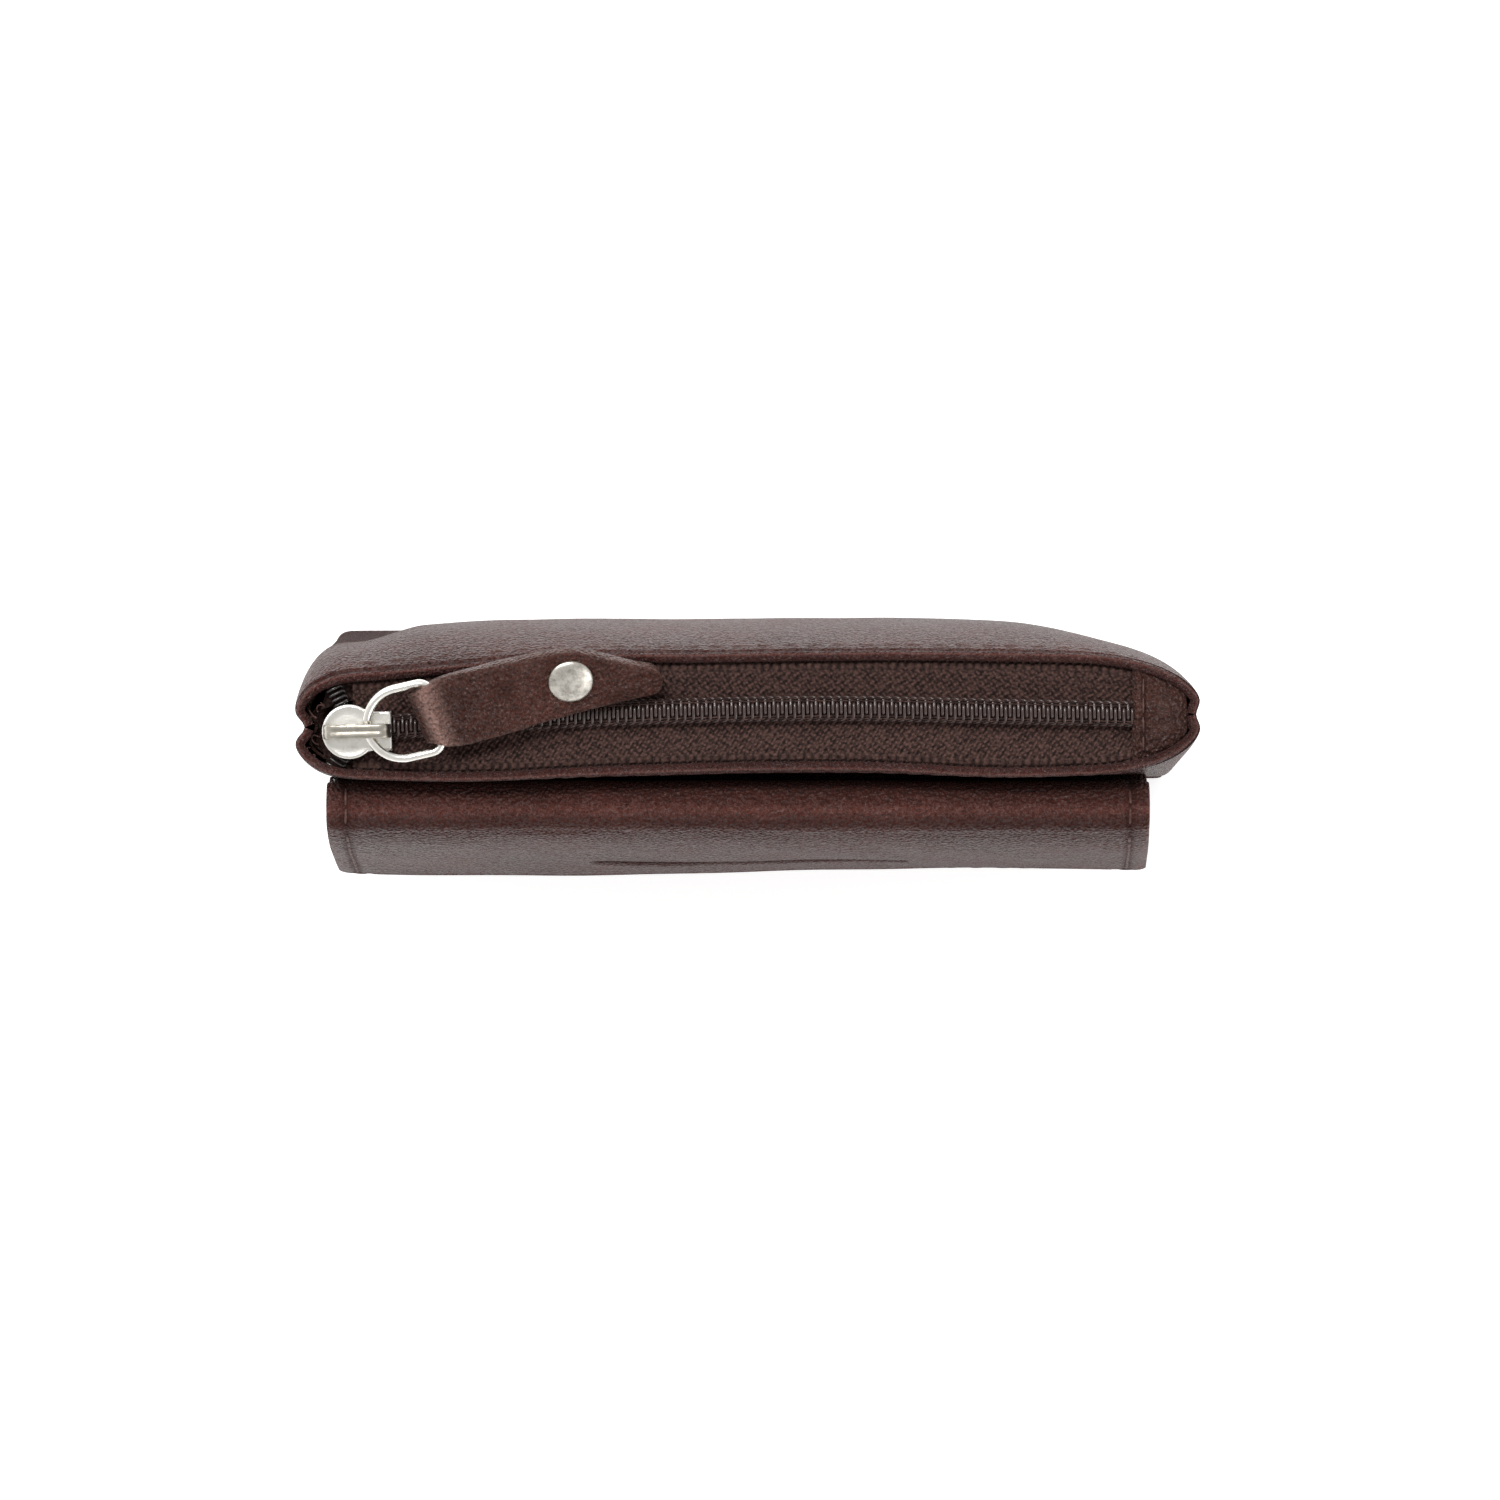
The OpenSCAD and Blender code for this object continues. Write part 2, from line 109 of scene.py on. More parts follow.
def make(name, points, faces, material, body=None):
    """A mesh piece from points in millimetres."""
    mesh = bpy.data.meshes.new(name)
    mesh.from_pydata([tuple(p) for p in np.asarray(points, float) * MM], [], faces)
    mesh.validate()
    mesh.polygons.foreach_set("use_smooth", [True] * len(mesh.polygons))
    mesh.materials.append(material)
    piece = bpy.data.objects.new(name, mesh)
    bpy.context.scene.collection.objects.link(piece)
    if body:
        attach(piece, body)
    return piece


def grid_faces(rows, cols, wrap_rows=False, wrap_cols=False):
    """Four-sided faces between the points of a grid."""
    faces = []
    for i in range(rows if wrap_rows else rows - 1):
        for j in range(cols if wrap_cols else cols - 1):
            k, m = (i + 1) % rows, (j + 1) % cols
            faces.append((i * cols + j, i * cols + m, k * cols + m, k * cols + j))
    return faces


def grid_piece(name, grid, material, body=None, wrap_rows=False, wrap_cols=False):
    """A piece from a rows x cols x 3 array."""
    rows, cols = grid.shape[:2]
    faces = grid_faces(rows, cols, wrap_rows, wrap_cols)
    return make(name, grid.reshape(-1, 3), faces, material, body)


class Parts:
    """Gathers many small shapes into one mesh."""

    def __init__(self):
        self.points = []
        self.faces = []
        self.count = 0

    def add(self, points, faces):
        self.faces += [tuple(i + self.count for i in f) for f in faces]
        self.points.append(np.asarray(points, float))
        self.count += len(points)

    def add_ring_grid(self, grid):
        """A grid whose every row is a closed ring."""
        rows, cols = grid.shape[:2]
        self.add(grid.reshape(-1, 3), grid_faces(rows, cols, wrap_cols=True))

    def close_ends(self, start, rows, cols):
        """Caps on the first and the last ring of a ring grid that begins at a point's number."""
        last = start + (rows - 1) * cols
        self.faces.append(tuple(start + k for k in range(cols)))
        self.faces.append(tuple(last + k for k in reversed(range(cols))))

    def piece(self, name, material, body=None):
        return make(name, np.concatenate(self.points), self.faces, material, body)


def tube_grid(path, radius, sides=8, up=(0, 0, 1)):
    """Rings round a path. radius is a number or one number for each point."""
    path = np.asarray(path, float)
    tangents = np.gradient(path, axis=0)
    tangents /= np.linalg.norm(tangents, axis=1)[:, None]
    side = np.cross(tangents, np.asarray(up, float))
    side /= np.maximum(np.linalg.norm(side, axis=1), 1e-9)[:, None]
    top = np.cross(side, tangents)
    radius = np.broadcast_to(radius, len(path))[:, None, None]
    angle = np.linspace(0, 2 * math.pi, sides, endpoint=False)
    ring = np.cos(angle)[None, :, None] * side[:, None, :] + np.sin(angle)[None, :, None] * top[:, None, :]
    return path[:, None, :] + radius * ring


def add_tube(parts, path, radius, sides=8, up=(0, 0, 1)):
    """A round wire or thread with closed ends."""
    start = parts.count
    parts.add_ring_grid(tube_grid(path, radius, sides, up))
    parts.close_ends(start, len(path), sides)


def attribute(piece, name, values):
    """A number for each point, which the materials read."""
    layer = piece.data.attributes.new(name, "FLOAT", "POINT")
    layer.data.foreach_set("value", np.asarray(values, np.float32).ravel())


def modifier_applied(piece, kind, **settings):
    """Adds a modifier and applies it, so the mesh is final."""
    modifier = piece.modifiers.new(kind.lower(), kind)
    for key, value in settings.items():
        setattr(modifier, key, value)
    bpy.context.view_layer.objects.active = piece
    for other in bpy.context.selected_objects:
        other.select_set(False)
    piece.select_set(True)
    bpy.ops.object.modifier_apply(modifier=modifier.name)


# ------------------------------------------------------------------ materials


class Nodes:
    """A short way to build a node material."""

    def __init__(self, name):
        self.material = bpy.data.materials.new(name)
        self.material.use_nodes = True
        self.tree = self.material.node_tree
        self.shader = self.tree.nodes["Principled BSDF"]
        self.place = self.node("ShaderNodeTexCoord").outputs["Object"]

    def node(self, kind, **values):
        made = self.tree.nodes.new(kind)
        for key, value in values.items():
            if hasattr(made, key) and key not in made.inputs:
                setattr(made, key, value)
            else:
                made.inputs[key].default_value = value
        return made

    def link(self, source, target):
        self.tree.links.new(source, target)

    def noise(self, scale, detail=3.0, roughness=0.5, stretch=None):
        made = self.node("ShaderNodeTexNoise", Scale=scale, Detail=detail, Roughness=roughness)
        self.link(self.stretched(stretch), made.inputs["Vector"])
        return made.outputs["Fac"]

    def stretched(self, stretch):
        if stretch is None:
            return self.place
        mapping = self.node("ShaderNodeMapping")
        mapping.inputs["Scale"].default_value = stretch
        self.link(self.place, mapping.inputs["Vector"])
        return mapping.outputs["Vector"]

    def cells(self, scale, stretch=None, randomness=1.0):
        made = self.node("ShaderNodeTexVoronoi", Scale=scale, Randomness=randomness)
        made.feature = "SMOOTH_F1"
        self.link(self.stretched(stretch), made.inputs["Vector"])
        return made.outputs["Distance"]

    def attribute(self, name):
        return self.node("ShaderNodeAttribute", attribute_name=name).outputs["Fac"]

    def ramp(self, source, stops):
        made = self.node("ShaderNodeValToRGB")
        elements = made.color_ramp.elements
        while len(elements) < len(stops):
            elements.new(0.5)
        for element, (position, colour) in zip(elements, stops):
            element.position = position
            element.color = (*colour, 1)
        self.link(source, made.inputs["Fac"])
        return made.outputs["Color"]

    def math(self, operation, a, b):
        made = self.node("ShaderNodeMath")
        made.operation = operation
        for socket, value in zip(made.inputs, (a, b)):
            if isinstance(value, (int, float)):
                socket.default_value = value
            else:
                self.link(value, socket)
        return made.outputs["Value"]

    def range(self, source, low, high, start=0.0, end=1.0):
        made = self.node("ShaderNodeMapRange")
        values = {"From Min": start, "From Max": end, "To Min": low, "To Max": high}
        for key, value in values.items():
            made.inputs[key].default_value = value
        self.link(source, made.inputs["Value"])
        return made.outputs["Result"]

    def mix(self, factor, a, b):
        made = self.node("ShaderNodeMix", data_type="RGBA")
        for socket, value in ((made.inputs["Factor"], factor), (made.inputs[6], a), (made.inputs[7], b)):
            if isinstance(value, (int, float)):
                socket.default_value = value
            elif isinstance(value, tuple):
                socket.default_value = (*value, 1)
            else:
                self.link(value, socket)
        return made.outputs[2]

    def bump(self, height, distance, strength=1.0, below=None):
        made = self.node("ShaderNodeBump", Strength=strength, Distance=distance)
        self.link(height, made.inputs["Height"])
        if below is not None:
            self.link(below, made.inputs["Normal"])
        return made.outputs["Normal"]

    def finish(self, colour, roughness, normal=None, **fixed):
        wired = {"Base Color": colour, "Roughness": roughness, "Normal": normal}
        for key, value in wired.items():
            if value is None:
                continue
            if isinstance(value, (int, float)):
                self.shader.inputs[key].default_value = value
            else:
                self.link(value, self.shader.inputs[key])
        for key, value in fixed.items():
            self.shader.inputs[key.replace("_", " ")].default_value = value
        return self.material


def leather(name, dark, light, worn_and_highlight_colour, grain=1.0, gloss=0.42, specular=0.36):
    """Full-grain leather: pebbled grain and cloudy colour, lightened for rubbed wear and for painted
    highlights, and darker, rougher and less shiny where shade is painted.
    """
    n = Nodes(name)
    clouds = n.noise(70, detail=5, roughness=0.6)
    fibres = n.noise(900, detail=2, roughness=0.7)
    colour = n.ramp(clouds, [(0.32, dark), (0.68, light)])
    speckle = n.range(fibres, 0.0, 0.55, 0.42, 0.75)
    colour = n.mix(speckle, colour, tuple(0.5 * c for c in dark))
    # The wear channel lightens for rubbed wear and for painted highlights; the shade channel below is painted
    # shade.
    colour = n.mix(n.math("MULTIPLY", n.attribute("wear_and_highlight"), 0.8), colour, worn_and_highlight_colour)
    colour = n.mix(n.math("MULTIPLY", n.attribute("shade"), 0.7), colour, tuple(0.4 * c for c in dark))
    pebbles = n.cells(2300 / grain)
    creases = n.noise(420, detail=5, roughness=0.7, stretch=(0.45, 1.0, 1.5))
    normal = n.bump(pebbles, 0.00080 * grain, 1.0)
    normal = n.bump(creases, 0.00055, 0.75, normal)
    roughness = n.range(clouds, gloss - 0.05, gloss + 0.09)
    roughness = n.math("ADD", roughness, n.math("MULTIPLY", n.attribute("shade"), 0.35))
    glints = n.range(n.noise(2300, detail=2), 0.1, 1.0, 0.36, 0.66)
    shine = n.math("MULTIPLY", glints, n.range(n.attribute("shade"), specular, 0.04))
    n.link(shine, n.shader.inputs["Specular IOR Level"])
    return n.finish(colour, roughness, normal, Sheen_Weight=0.03, Sheen_Roughness=0.45)


def woven(name, dark, light):
    """Zip tape: close twill of thick yarn, with fuzz."""
    n = Nodes(name)
    yarn = n.cells(1700, stretch=(1.0, 1.25, 1.0), randomness=0.8)
    fuzz = n.noise(2600, detail=3, roughness=0.7)
    cloud = n.noise(160, detail=3)
    colour = n.ramp(yarn, [(0.1, light), (0.5, dark)])
    colour = n.mix(n.range(fuzz, 0.0, 0.45, 0.4, 0.8), colour, tuple(1.5 * c for c in light))
    colour = n.mix(n.range(cloud, 0.0, 0.35), colour, dark)
    # The crown attribute paints highlights on the tops of the yarn and the ribs.
    colour = n.mix(n.math("MULTIPLY", n.attribute("crown"), 0.75), colour, tuple(1.45 * c for c in light))
    normal = n.bump(yarn, -0.00016, 0.8)
    normal = n.bump(fuzz, 0.00006, 0.5, normal)
    return n.finish(colour, 0.78, normal, Specular_IOR_Level=0.12, Sheen_Weight=0.04, Sheen_Roughness=0.5)


def nylon(name, colour, gloss):
    """A dyed filament, a little cloudy."""
    n = Nodes(name)
    cloud = n.noise(700, detail=2)
    mixed = n.mix(n.range(cloud, 0.0, 0.6), colour, tuple(1.9 * c for c in colour))
    normal = n.bump(cloud, 0.00004, 0.4)
    return n.finish(mixed, n.range(cloud, gloss, gloss + 0.18), normal, Specular_IOR_Level=0.65)


def thread(name, dark, light):
    """Waxed thread with the mottle of its twist."""
    n = Nodes(name)
    twist = n.noise(2400, detail=2)
    colour = n.ramp(twist, [(0.35, dark), (0.65, light)])
    return n.finish(colour, 0.6, n.bump(twist, 0.00005, 0.7), Specular_IOR_Level=0.35)


def plated(name, clean, tarnish, amount, gloss):
    """Plated metal with tarnish in blotches and specks."""
    n = Nodes(name)
    blotch = n.noise(900, detail=6, roughness=0.7)
    pits = n.noise(3000, detail=2)
    spots = n.range(blotch, 0.0, 1.0, 0.62 - 0.22 * amount, 0.78)
    spots = n.math("MULTIPLY", spots, amount)
    colour = n.mix(spots, clean, tarnish)
    normal = n.bump(pits, 0.00003, 0.5)
    normal = n.bump(blotch, 0.00006, 0.35, normal)
    roughness = n.range(blotch, gloss, gloss + 0.2)
    return n.finish(colour, roughness, normal, Metallic=1.0)


LEATHER = leather("body_leather", (0.040, 0.0115, 0.0085), (0.066, 0.0205, 0.0155), (0.135, 0.045, 0.034))
LIP_LEATHER = leather(
    "lip_leather", (0.032, 0.0098, 0.0080), (0.048, 0.0150, 0.0120), (0.120, 0.043, 0.034), 0.7, 0.34, 0.34
)
PULL_LEATHER = leather(
    "pull_leather", (0.030, 0.0100, 0.0072), (0.066, 0.0215, 0.0150), (0.260, 0.150, 0.125), 1.15, 0.36
)
LINING = leather(
    "lining_leather", (0.030, 0.0125, 0.0095), (0.046, 0.0200, 0.0150), (0.07, 0.03, 0.024), 0.7, 0.62
)
TAPE = woven("zip_tape_weave", (0.008, 0.0042, 0.0034), (0.088, 0.0460, 0.0385))
COIL = nylon("zip_coil_nylon", (0.030, 0.0165, 0.0140), 0.16)
BLACK_COIL = nylon("zip_end_nylon", (0.010, 0.0070, 0.0070), 0.16)
THREAD = thread("waxed_thread", (0.040, 0.0150, 0.0120), (0.095, 0.0420, 0.0340))
NICKEL = plated("polished_nickel", (0.86, 0.835, 0.78), (0.42, 0.38, 0.32), 0.45, 0.14)
AGED_NICKEL = plated("aged_nickel", (0.64, 0.61, 0.55), (0.15, 0.12, 0.10), 1.0, 0.24)
BRIDGE_NICKEL = plated("bridge_nickel", (0.42, 0.39, 0.34), (0.16, 0.14, 0.11), 0.75, 0.2)
MAGNET = plated("magnet_plate", (0.60, 0.60, 0.60), (0.35, 0.34, 0.33), 0.3, 0.3)


def matte_white(name, value, glow):
    """The studio floor: lit paper that also glows, so that no shadow greys it."""
    n = Nodes(name)
    n.shader.inputs["Emission Color"].default_value = (1, 1, 1, 1)
    n.shader.inputs["Emission Strength"].default_value = glow
    cloud = n.noise(6, detail=2)
    grey = (value * 0.985, value * 0.985, value * 0.98)
    colour = n.mix(n.range(cloud, 0.0, 0.3), (value, value, value), grey)
    return n.finish(colour, 0.9, Specular_IOR_Level=0.1)


# --------------------------------------------------------- camera, floor, light

LIP_Z = span("pocket_back_panel")[1][2]
CAMERA_ABOVE_LIPS = 1190.0
PICTURE_WIDTH = 205.5
SENSOR = 36.0

camera_data = bpy.data.cameras.new("camera")
camera_data.sensor_width = SENSOR
camera_data.lens = SENSOR * CAMERA_ABOVE_LIPS / PICTURE_WIDTH
camera_data.clip_end = 20.0
camera = bpy.data.objects.new("camera", camera_data)
camera.location = (0, 0, (LIP_Z + CAMERA_ABOVE_LIPS) * MM)
bpy.context.scene.collection.objects.link(camera)
bpy.context.scene.camera = camera

FLOOR_HALF = 3000
FLOOR_DROP = 0.05
corners = [(x * FLOOR_HALF, y * FLOOR_HALF, -FLOOR_DROP) for x, y in ((-1, -1), (1, -1), (1, 1), (-1, 1))]
floor = make("floor", corners, [(0, 1, 2, 3)], matte_white("floor_white", 0.9, 0.5))

world = bpy.data.worlds.new("soft_white")
bpy.context.scene.world = world
world.use_nodes = True
sky = world.node_tree.nodes["Background"]
sky.inputs["Strength"].default_value = 0.93
# The studio is bright at its sides and a little darker straight above.
direction = world.node_tree.nodes.new("ShaderNodeTexCoord")
split = world.node_tree.nodes.new("ShaderNodeSeparateXYZ")
shade = world.node_tree.nodes.new("ShaderNodeValToRGB")
world.node_tree.links.new(direction.outputs["Generated"], split.inputs["Vector"])
world.node_tree.links.new(split.outputs["Z"], shade.inputs["Fac"])
world.node_tree.links.new(shade.outputs["Color"], sky.inputs["Color"])
shade.color_ramp.elements[0].position = 0.45
shade.color_ramp.elements[0].color = (1, 1, 1, 1)
shade.color_ramp.elements[1].position = 0.97
shade.color_ramp.elements[1].color = (0.66, 0.66, 0.66, 1)
bpy.context.scene.view_settings.view_transform = "Standard"


def area_light(name, place, size, power):
    """A round soft light, with its place in metres, that shines on the middle of the pouch."""
    data = bpy.data.lights.new(name, "AREA")
    data.shape = "DISK"
    data.size = size
    data.energy = power
    light = bpy.data.objects.new(name, data)
    light.location = place
    light.rotation_euler = (LIGHT_TARGET - Vector(place)).to_track_quat("-Z", "Y").to_euler()
    bpy.context.scene.collection.objects.link(light)


LIGHT_TARGET = Vector((0, 0, 0.05))
area_light("key", (-1.0, 0.9, 1.2), 0.9, 12)
area_light("top", (-0.2, 0.62, 1.35), 0.35, 10)
area_light("fill", (1.3, -1.0, 1.0), 1.2, 8)


# ------------------------------------------------------------ the zip pocket

HALF_W = span("pocket_base")[1][0]
BASE_BACK = span("pocket_base")[1][1]
BASE_FRONT = span("pocket_base")[0][1]
HEM_T = 1.25
SEAM_LEFT_Y = 3.1
SEAM_RIGHT_Y = 4.9

# Y of each lip's outer face and of the zip's chain, along X.
back_lip = curve_through(
    [(-58, 10.6), (-49, 11.0), (-38, 11.9), (-28, 12.9), (-7, 13.2), (20, 13.5), (50, 13.1)]
)
front_lip = curve_through(
    [(-58, -3.9), (-38, -4.3), (-22, -3.6), (0, -2.95), (15, -2.9), (36, -3.7), (52, -3.2)]
)
chain_line = curve_through([(-58, 2.3), (-48, 3.2), (-30, 4.5), (-15, 5.2), (15, 5.7), (34, 5.3), (54, 4.9)])


def mouth_seam(x):
    """Y of the line where the two panels would meet, at the height of the lips."""
    return SEAM_LEFT_Y + (SEAM_RIGHT_Y - SEAM_LEFT_Y) * smooth((x + HALF_W) / (2 * HALF_W))


BASE_SEAM = (BASE_BACK + BASE_FRONT) / 2 - 1.0


def panel_columns():
    """Places along a panel: (kind, t), where kind is an end or the straight and t runs from 0 to 1."""
    left = [("left", t) for t in np.linspace(1, 0, 26, endpoint=False)]
    straight = [("straight", t) for t in np.linspace(0, 1, 120, endpoint=False)]
    right = [("right", t) for t in np.linspace(0, 1, 30)]
    return left + straight + right


COLUMNS = panel_columns()


def outline(z, side, inset=0.0):
    """One level of a panel's outer face: X, and the share of the depth that is left as the ends round off."""
    rise = np.clip(z / LIP_Z, 0, 1) ** 2.2
    left_len = 4.0 + 5.5 * rise
    right_len = (5.0 if side > 0 else 2.6) + 13.0 * rise
    left_n = 4.0 - 1.7 * rise
    right_n = 3.6 - 1.5 * rise
    flare = smooth((z - 60) / 30)
    low, high = -HALF_W + inset - 1.1 * flare, HALF_W - inset + 0.6 * flare
    xs, shares = [], []
    for kind, t in COLUMNS:
        angle = t * math.pi / 2
        if kind == "left":
            xs.append(low + left_len - left_len * math.sin(angle) ** (2 / left_n))
            shares.append(max(math.cos(angle), 0.0) ** (2 / left_n))
        elif kind == "right":
            xs.append(high - right_len + right_len * math.sin(angle) ** (2 / right_n))
            shares.append(max(math.cos(angle), 0.0) ** (2 / right_n))
        else:
            xs.append(low + left_len + t * (high - right_len - low - left_len))
            shares.append(1.0)
    return np.array(xs), np.array(shares)


def back_face_y(x, z):
    """The back panel between base and lip: it bulges in the middle and is drawn in at the ends."""
    rise = z / LIP_Z
    base = BASE_BACK - 0.1 - 5.2 * smooth((x - 30) / 34) ** 1.4
    bulge = 1.25 * smooth((x + 62) / 30) * smooth((70 - x) / 32) - 2.1 * smooth((-46 - x) / 9)
    middle = np.sin(math.pi * np.clip(rise * 0.98, 0, 1)) * bulge
    return base + middle + (back_lip(x) - base) * rise**7


def front_face_y(x, z):
    """The front panel, which leans out from its base to its lip."""
    rise = z / LIP_Z
    base = BASE_FRONT + 0.15
    return base + (front_lip(x) - base) * rise**5


def panel_level(z, side, inset=0.0):
    """Points of one level of a panel."""
    x, share = outline(z, side, inset)
    rise = np.clip(z / LIP_Z, 0, 1)
    seam = BASE_SEAM + (mouth_seam(x) - BASE_SEAM) * rise**1.5
    face = back_face_y(x, z) if side > 0 else front_face_y(x, z)
    y = seam + (face - side * inset - seam) * share
    # The two panels turn in to meet at each end, which leaves a notch between two rounded lobes.
    near_mouth = smooth((z - 62) / 24)
    away = np.abs(y - seam)
    left = x < 0
    notch = np.where(left, 1.75, 1.1) * np.exp(-((away / 1.5) ** 2)) * near_mouth
    ends = np.clip((np.abs(x) - HALF_W + 5) / 5, 0, 1)
    x = x - np.sign(x) * notch * ends
    puff = 0.16 * ripple(x, z, 1.3 if side > 0 else 2.6) * (1 - rise**8) * share
    return np.stack([x, y + side * puff, np.full_like(x, z)], axis=1)


def outward(points, side):
    """Unit vectors that point out of a level's outline."""
    tangent = np.gradient(points[:, :2], axis=0)
    normal = np.stack([-tangent[:, 1], tangent[:, 0]], axis=1) * side
    return normal / np.linalg.norm(normal, axis=1)[:, None]


def lip_height(x):
    """The zip's line dips a little towards its ends, most at the right."""
    return -0.35 * smooth((-50 - x) / 11) - 1.0 * smooth((x - 50) / 12)


def pocket_skin(name, side, nodes):
    """A panel from its base edge up the outside, over the turned hem, and a little way down the inside."""
    levels = [0.9, 2, 4, 8, 14, 20, 27, 34, 41, 48, 55, 61, 66, 70, 74]
    levels += [77.5, 80.5, 83, 85, 87, 88.4, 89.4, 90.4, 91.2, 91.9]
    grid = [panel_level(z, side) for z in levels]
    wear_and_highlight = [np.full(len(COLUMNS), 0.0) for _ in levels]
    top = panel_level(LIP_Z, side)
    away = outward(top, side)
    bead = HEM_T / 2

    def ring(out, z):
        points = top.copy()
        points[:, :2] += away * out
        points[:, 2] = z + lip_height(points[:, 0])
        return points

    for angle in np.linspace(-35, 205, 21):
        a = math.radians(angle)
        grid.append(ring(-bead + bead * 1.06 * math.cos(a), LIP_Z - bead + bead * math.sin(a)))
        # A painted highlight along the top of the bead, put in the wear channel.
        glow = 0.8 * math.exp(-(((angle - 62) / 14) ** 2))
        wear_and_highlight.append(np.full(len(COLUMNS), glow))
    for drop in (2.2, 3.2, 4.5, 6.0):
        grid.append(ring(-HEM_T + 0.05, LIP_Z - drop))
        wear_and_highlight.append(np.full(len(COLUMNS), 0.0))
    grid = np.array(grid)
    if side > 0:
        grid = grid[:, ::-1]
        wear_and_highlight = [w[::-1] for w in wear_and_highlight]
    piece = grid_piece(name, grid, LEATHER, "pouch")
    piece.data.materials.append(LIP_LEATHER)
    attribute(piece, "wear_and_highlight", np.array(wear_and_highlight))
    x, z = grid[..., 0], grid[..., 2]
    # Painted shade on the back panel's lower left corner, fading out up towards the lip.
    corner = 0.8 * smooth((-43 - x) / 9) * smooth((84 - z) / 40) if side > 0 else np.zeros_like(x)
    attribute(piece, "shade", corner)
    bead_rows = range(len(levels), grid.shape[0])
    cols = grid.shape[1] - 1
    for polygon in piece.data.polygons:
        if polygon.index // cols in bead_rows:
            polygon.material_index = 1
    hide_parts(*nodes)
    return piece


pocket_skin("pocket_back_skin", 1, ["pocket_back_panel"])
pocket_skin("pocket_front_skin", -1, ["pocket_front_panel"])


def pocket_liner(name, side, node):
    """The thin lining, hung just inside a panel."""
    grid = []
    for z in (2.2, 10, 20, 32, 44, 56, 66, 76, 83, 87.5, 89.6):
        grid.append(panel_level(z, side, inset=1.75))
    grid = np.array(grid)
    if side < 0:
        grid = grid[:, ::-1]
    piece = grid_piece(name, grid, LINING, "pouch")
    modifier_applied(piece, "SOLIDIFY", thickness=0.4 * MM, offset=0)
    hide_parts(node)


pocket_liner("pocket_back_liner", 1, "pocket_back_lining")
pocket_liner("pocket_front_liner", -1, "pocket_front_lining")


def pocket_floor():
    """The flat boxed base, with a rounded rim that the panels are sewn to."""
    rims = [(0.0, 1.3), (0.0, 0.9), (0.12, 0.45), (0.45, 0.12), (0.9, 0.0), (1.35, 0.15), (1.6, 0.6)]
    rows = []
    for z, inset in rims:
        back = panel_level(2, 1, inset - 0.15)
        front = panel_level(2, -1, inset - 0.3)[::-1]
        loop = np.concatenate([back, front[1:-1]])
        loop[:, 2] = z
        rows.append(loop)
    grid = np.array(rows)
    count = grid.shape[1]
    faces = grid_faces(len(rows), count, wrap_cols=True)
    faces = [tuple(reversed(f)) for f in faces]
    points = grid.reshape(-1, 3)
    middle_y = (BASE_BACK + BASE_FRONT) / 2
    middle = np.array([[0, middle_y, rims[0][0]], [0, middle_y, rims[-1][0]]])
    low, high = len(points), len(points) + 1
    last = (len(rows) - 1) * count
    for j in range(count):
        k = (j + 1) % count
        faces.append((low, j, k))
        faces.append((high, last + k, last + j))
    piece = make("pocket_base_skin", np.concatenate([points, middle]), faces, LEATHER, "pouch")
    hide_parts("pocket_base")


pocket_floor()


# ------------------------------------------------------------------- stitches


def add_stitch(parts, start, end, up, radius=0.2, lift=0.16):
    """A thread that comes out of one hole, lies on the leather and goes into the next."""
    start, end, up = (np.asarray(v, float) for v in (start, end, up))
    t = np.linspace(0, 1, 9)
    arch = np.sin(math.pi * t) ** 0.45
    path = start + (end - start) * t[:, None] + up * (arch * (lift + radius * 0.6) - radius * 0.9)[:, None]
    add_tube(parts, path, radius * (0.8 + 0.2 * arch), 7, up)


def seam_stitches(name, path, ups, pitch, length, nodes, body="pouch", radius=0.2, lift=0.12):
    """Stitches at an even pitch along a path of points, with the leather's outward direction at each."""
    path, ups = np.asarray(path, float), np.asarray(ups, float)
    steps = np.linalg.norm(np.diff(path, axis=0), axis=1)
    along = np.concatenate([[0], np.cumsum(steps)])

    def at(s, values):
        return np.array([np.interp(s, along, values[:, k]) for k in range(3)])

    parts = Parts()
    count = int((along[-1] - length) / pitch) + 1
    margin = (along[-1] - (count - 1) * pitch - length) / 2
    for i in range(count):
        s = margin + i * pitch
        wobble = RNG.normal(0, 0.035, 3)
        up = at(s + length / 2, ups)
        up /= np.linalg.norm(up)
        add_stitch(parts, at(s, path) + wobble, at(s + length, path) - wobble, up, radius, lift)
    piece = parts.piece(name, THREAD, body)
    if nodes:
        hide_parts(*nodes)


STITCH_PITCH = 3.4
STITCH_LEN = 2.5


def lip_stitches(name, side, node):
    """The row of stitches under a lip."""
    level = panel_level(90.2, side)
    slope = level - panel_level(89.2, side)
    away = outward(level, side)
    ups = np.stack([away[:, 0], away[:, 1], np.zeros(len(away))], axis=1)
    ups[:, 2] = -np.sum(slope[:, :2] * away, axis=1)
    keep = (level[:, 0] > -54) & (level[:, 0] < 55)
    level[:, 2] += lip_height(level[:, 0])
    seam_stitches(name, level[keep], ups[keep], STITCH_PITCH, STITCH_LEN, [node], radius=0.1, lift=0.02)


lip_stitches("back_lip_threads", 1, "back_lip_stitching")
lip_stitches("front_lip_threads", -1, "front_lip_stitching")


# ------------------------------------------------------------------------ zip

TAPE_TOP = span("zip_tape_back")[1][2]
COIL_LOW = span("zip_coil_back")[0][2]
COIL_HIGH = span("zip_coil_back")[1][2]
COIL_MID = (COIL_LOW + COIL_HIGH) / 2
COIL_PITCH = 1.157
COIL_R = 0.24
HEAD_R = 3.78
SLIDER_X = span("slider_body")[0][0] + HEAD_R
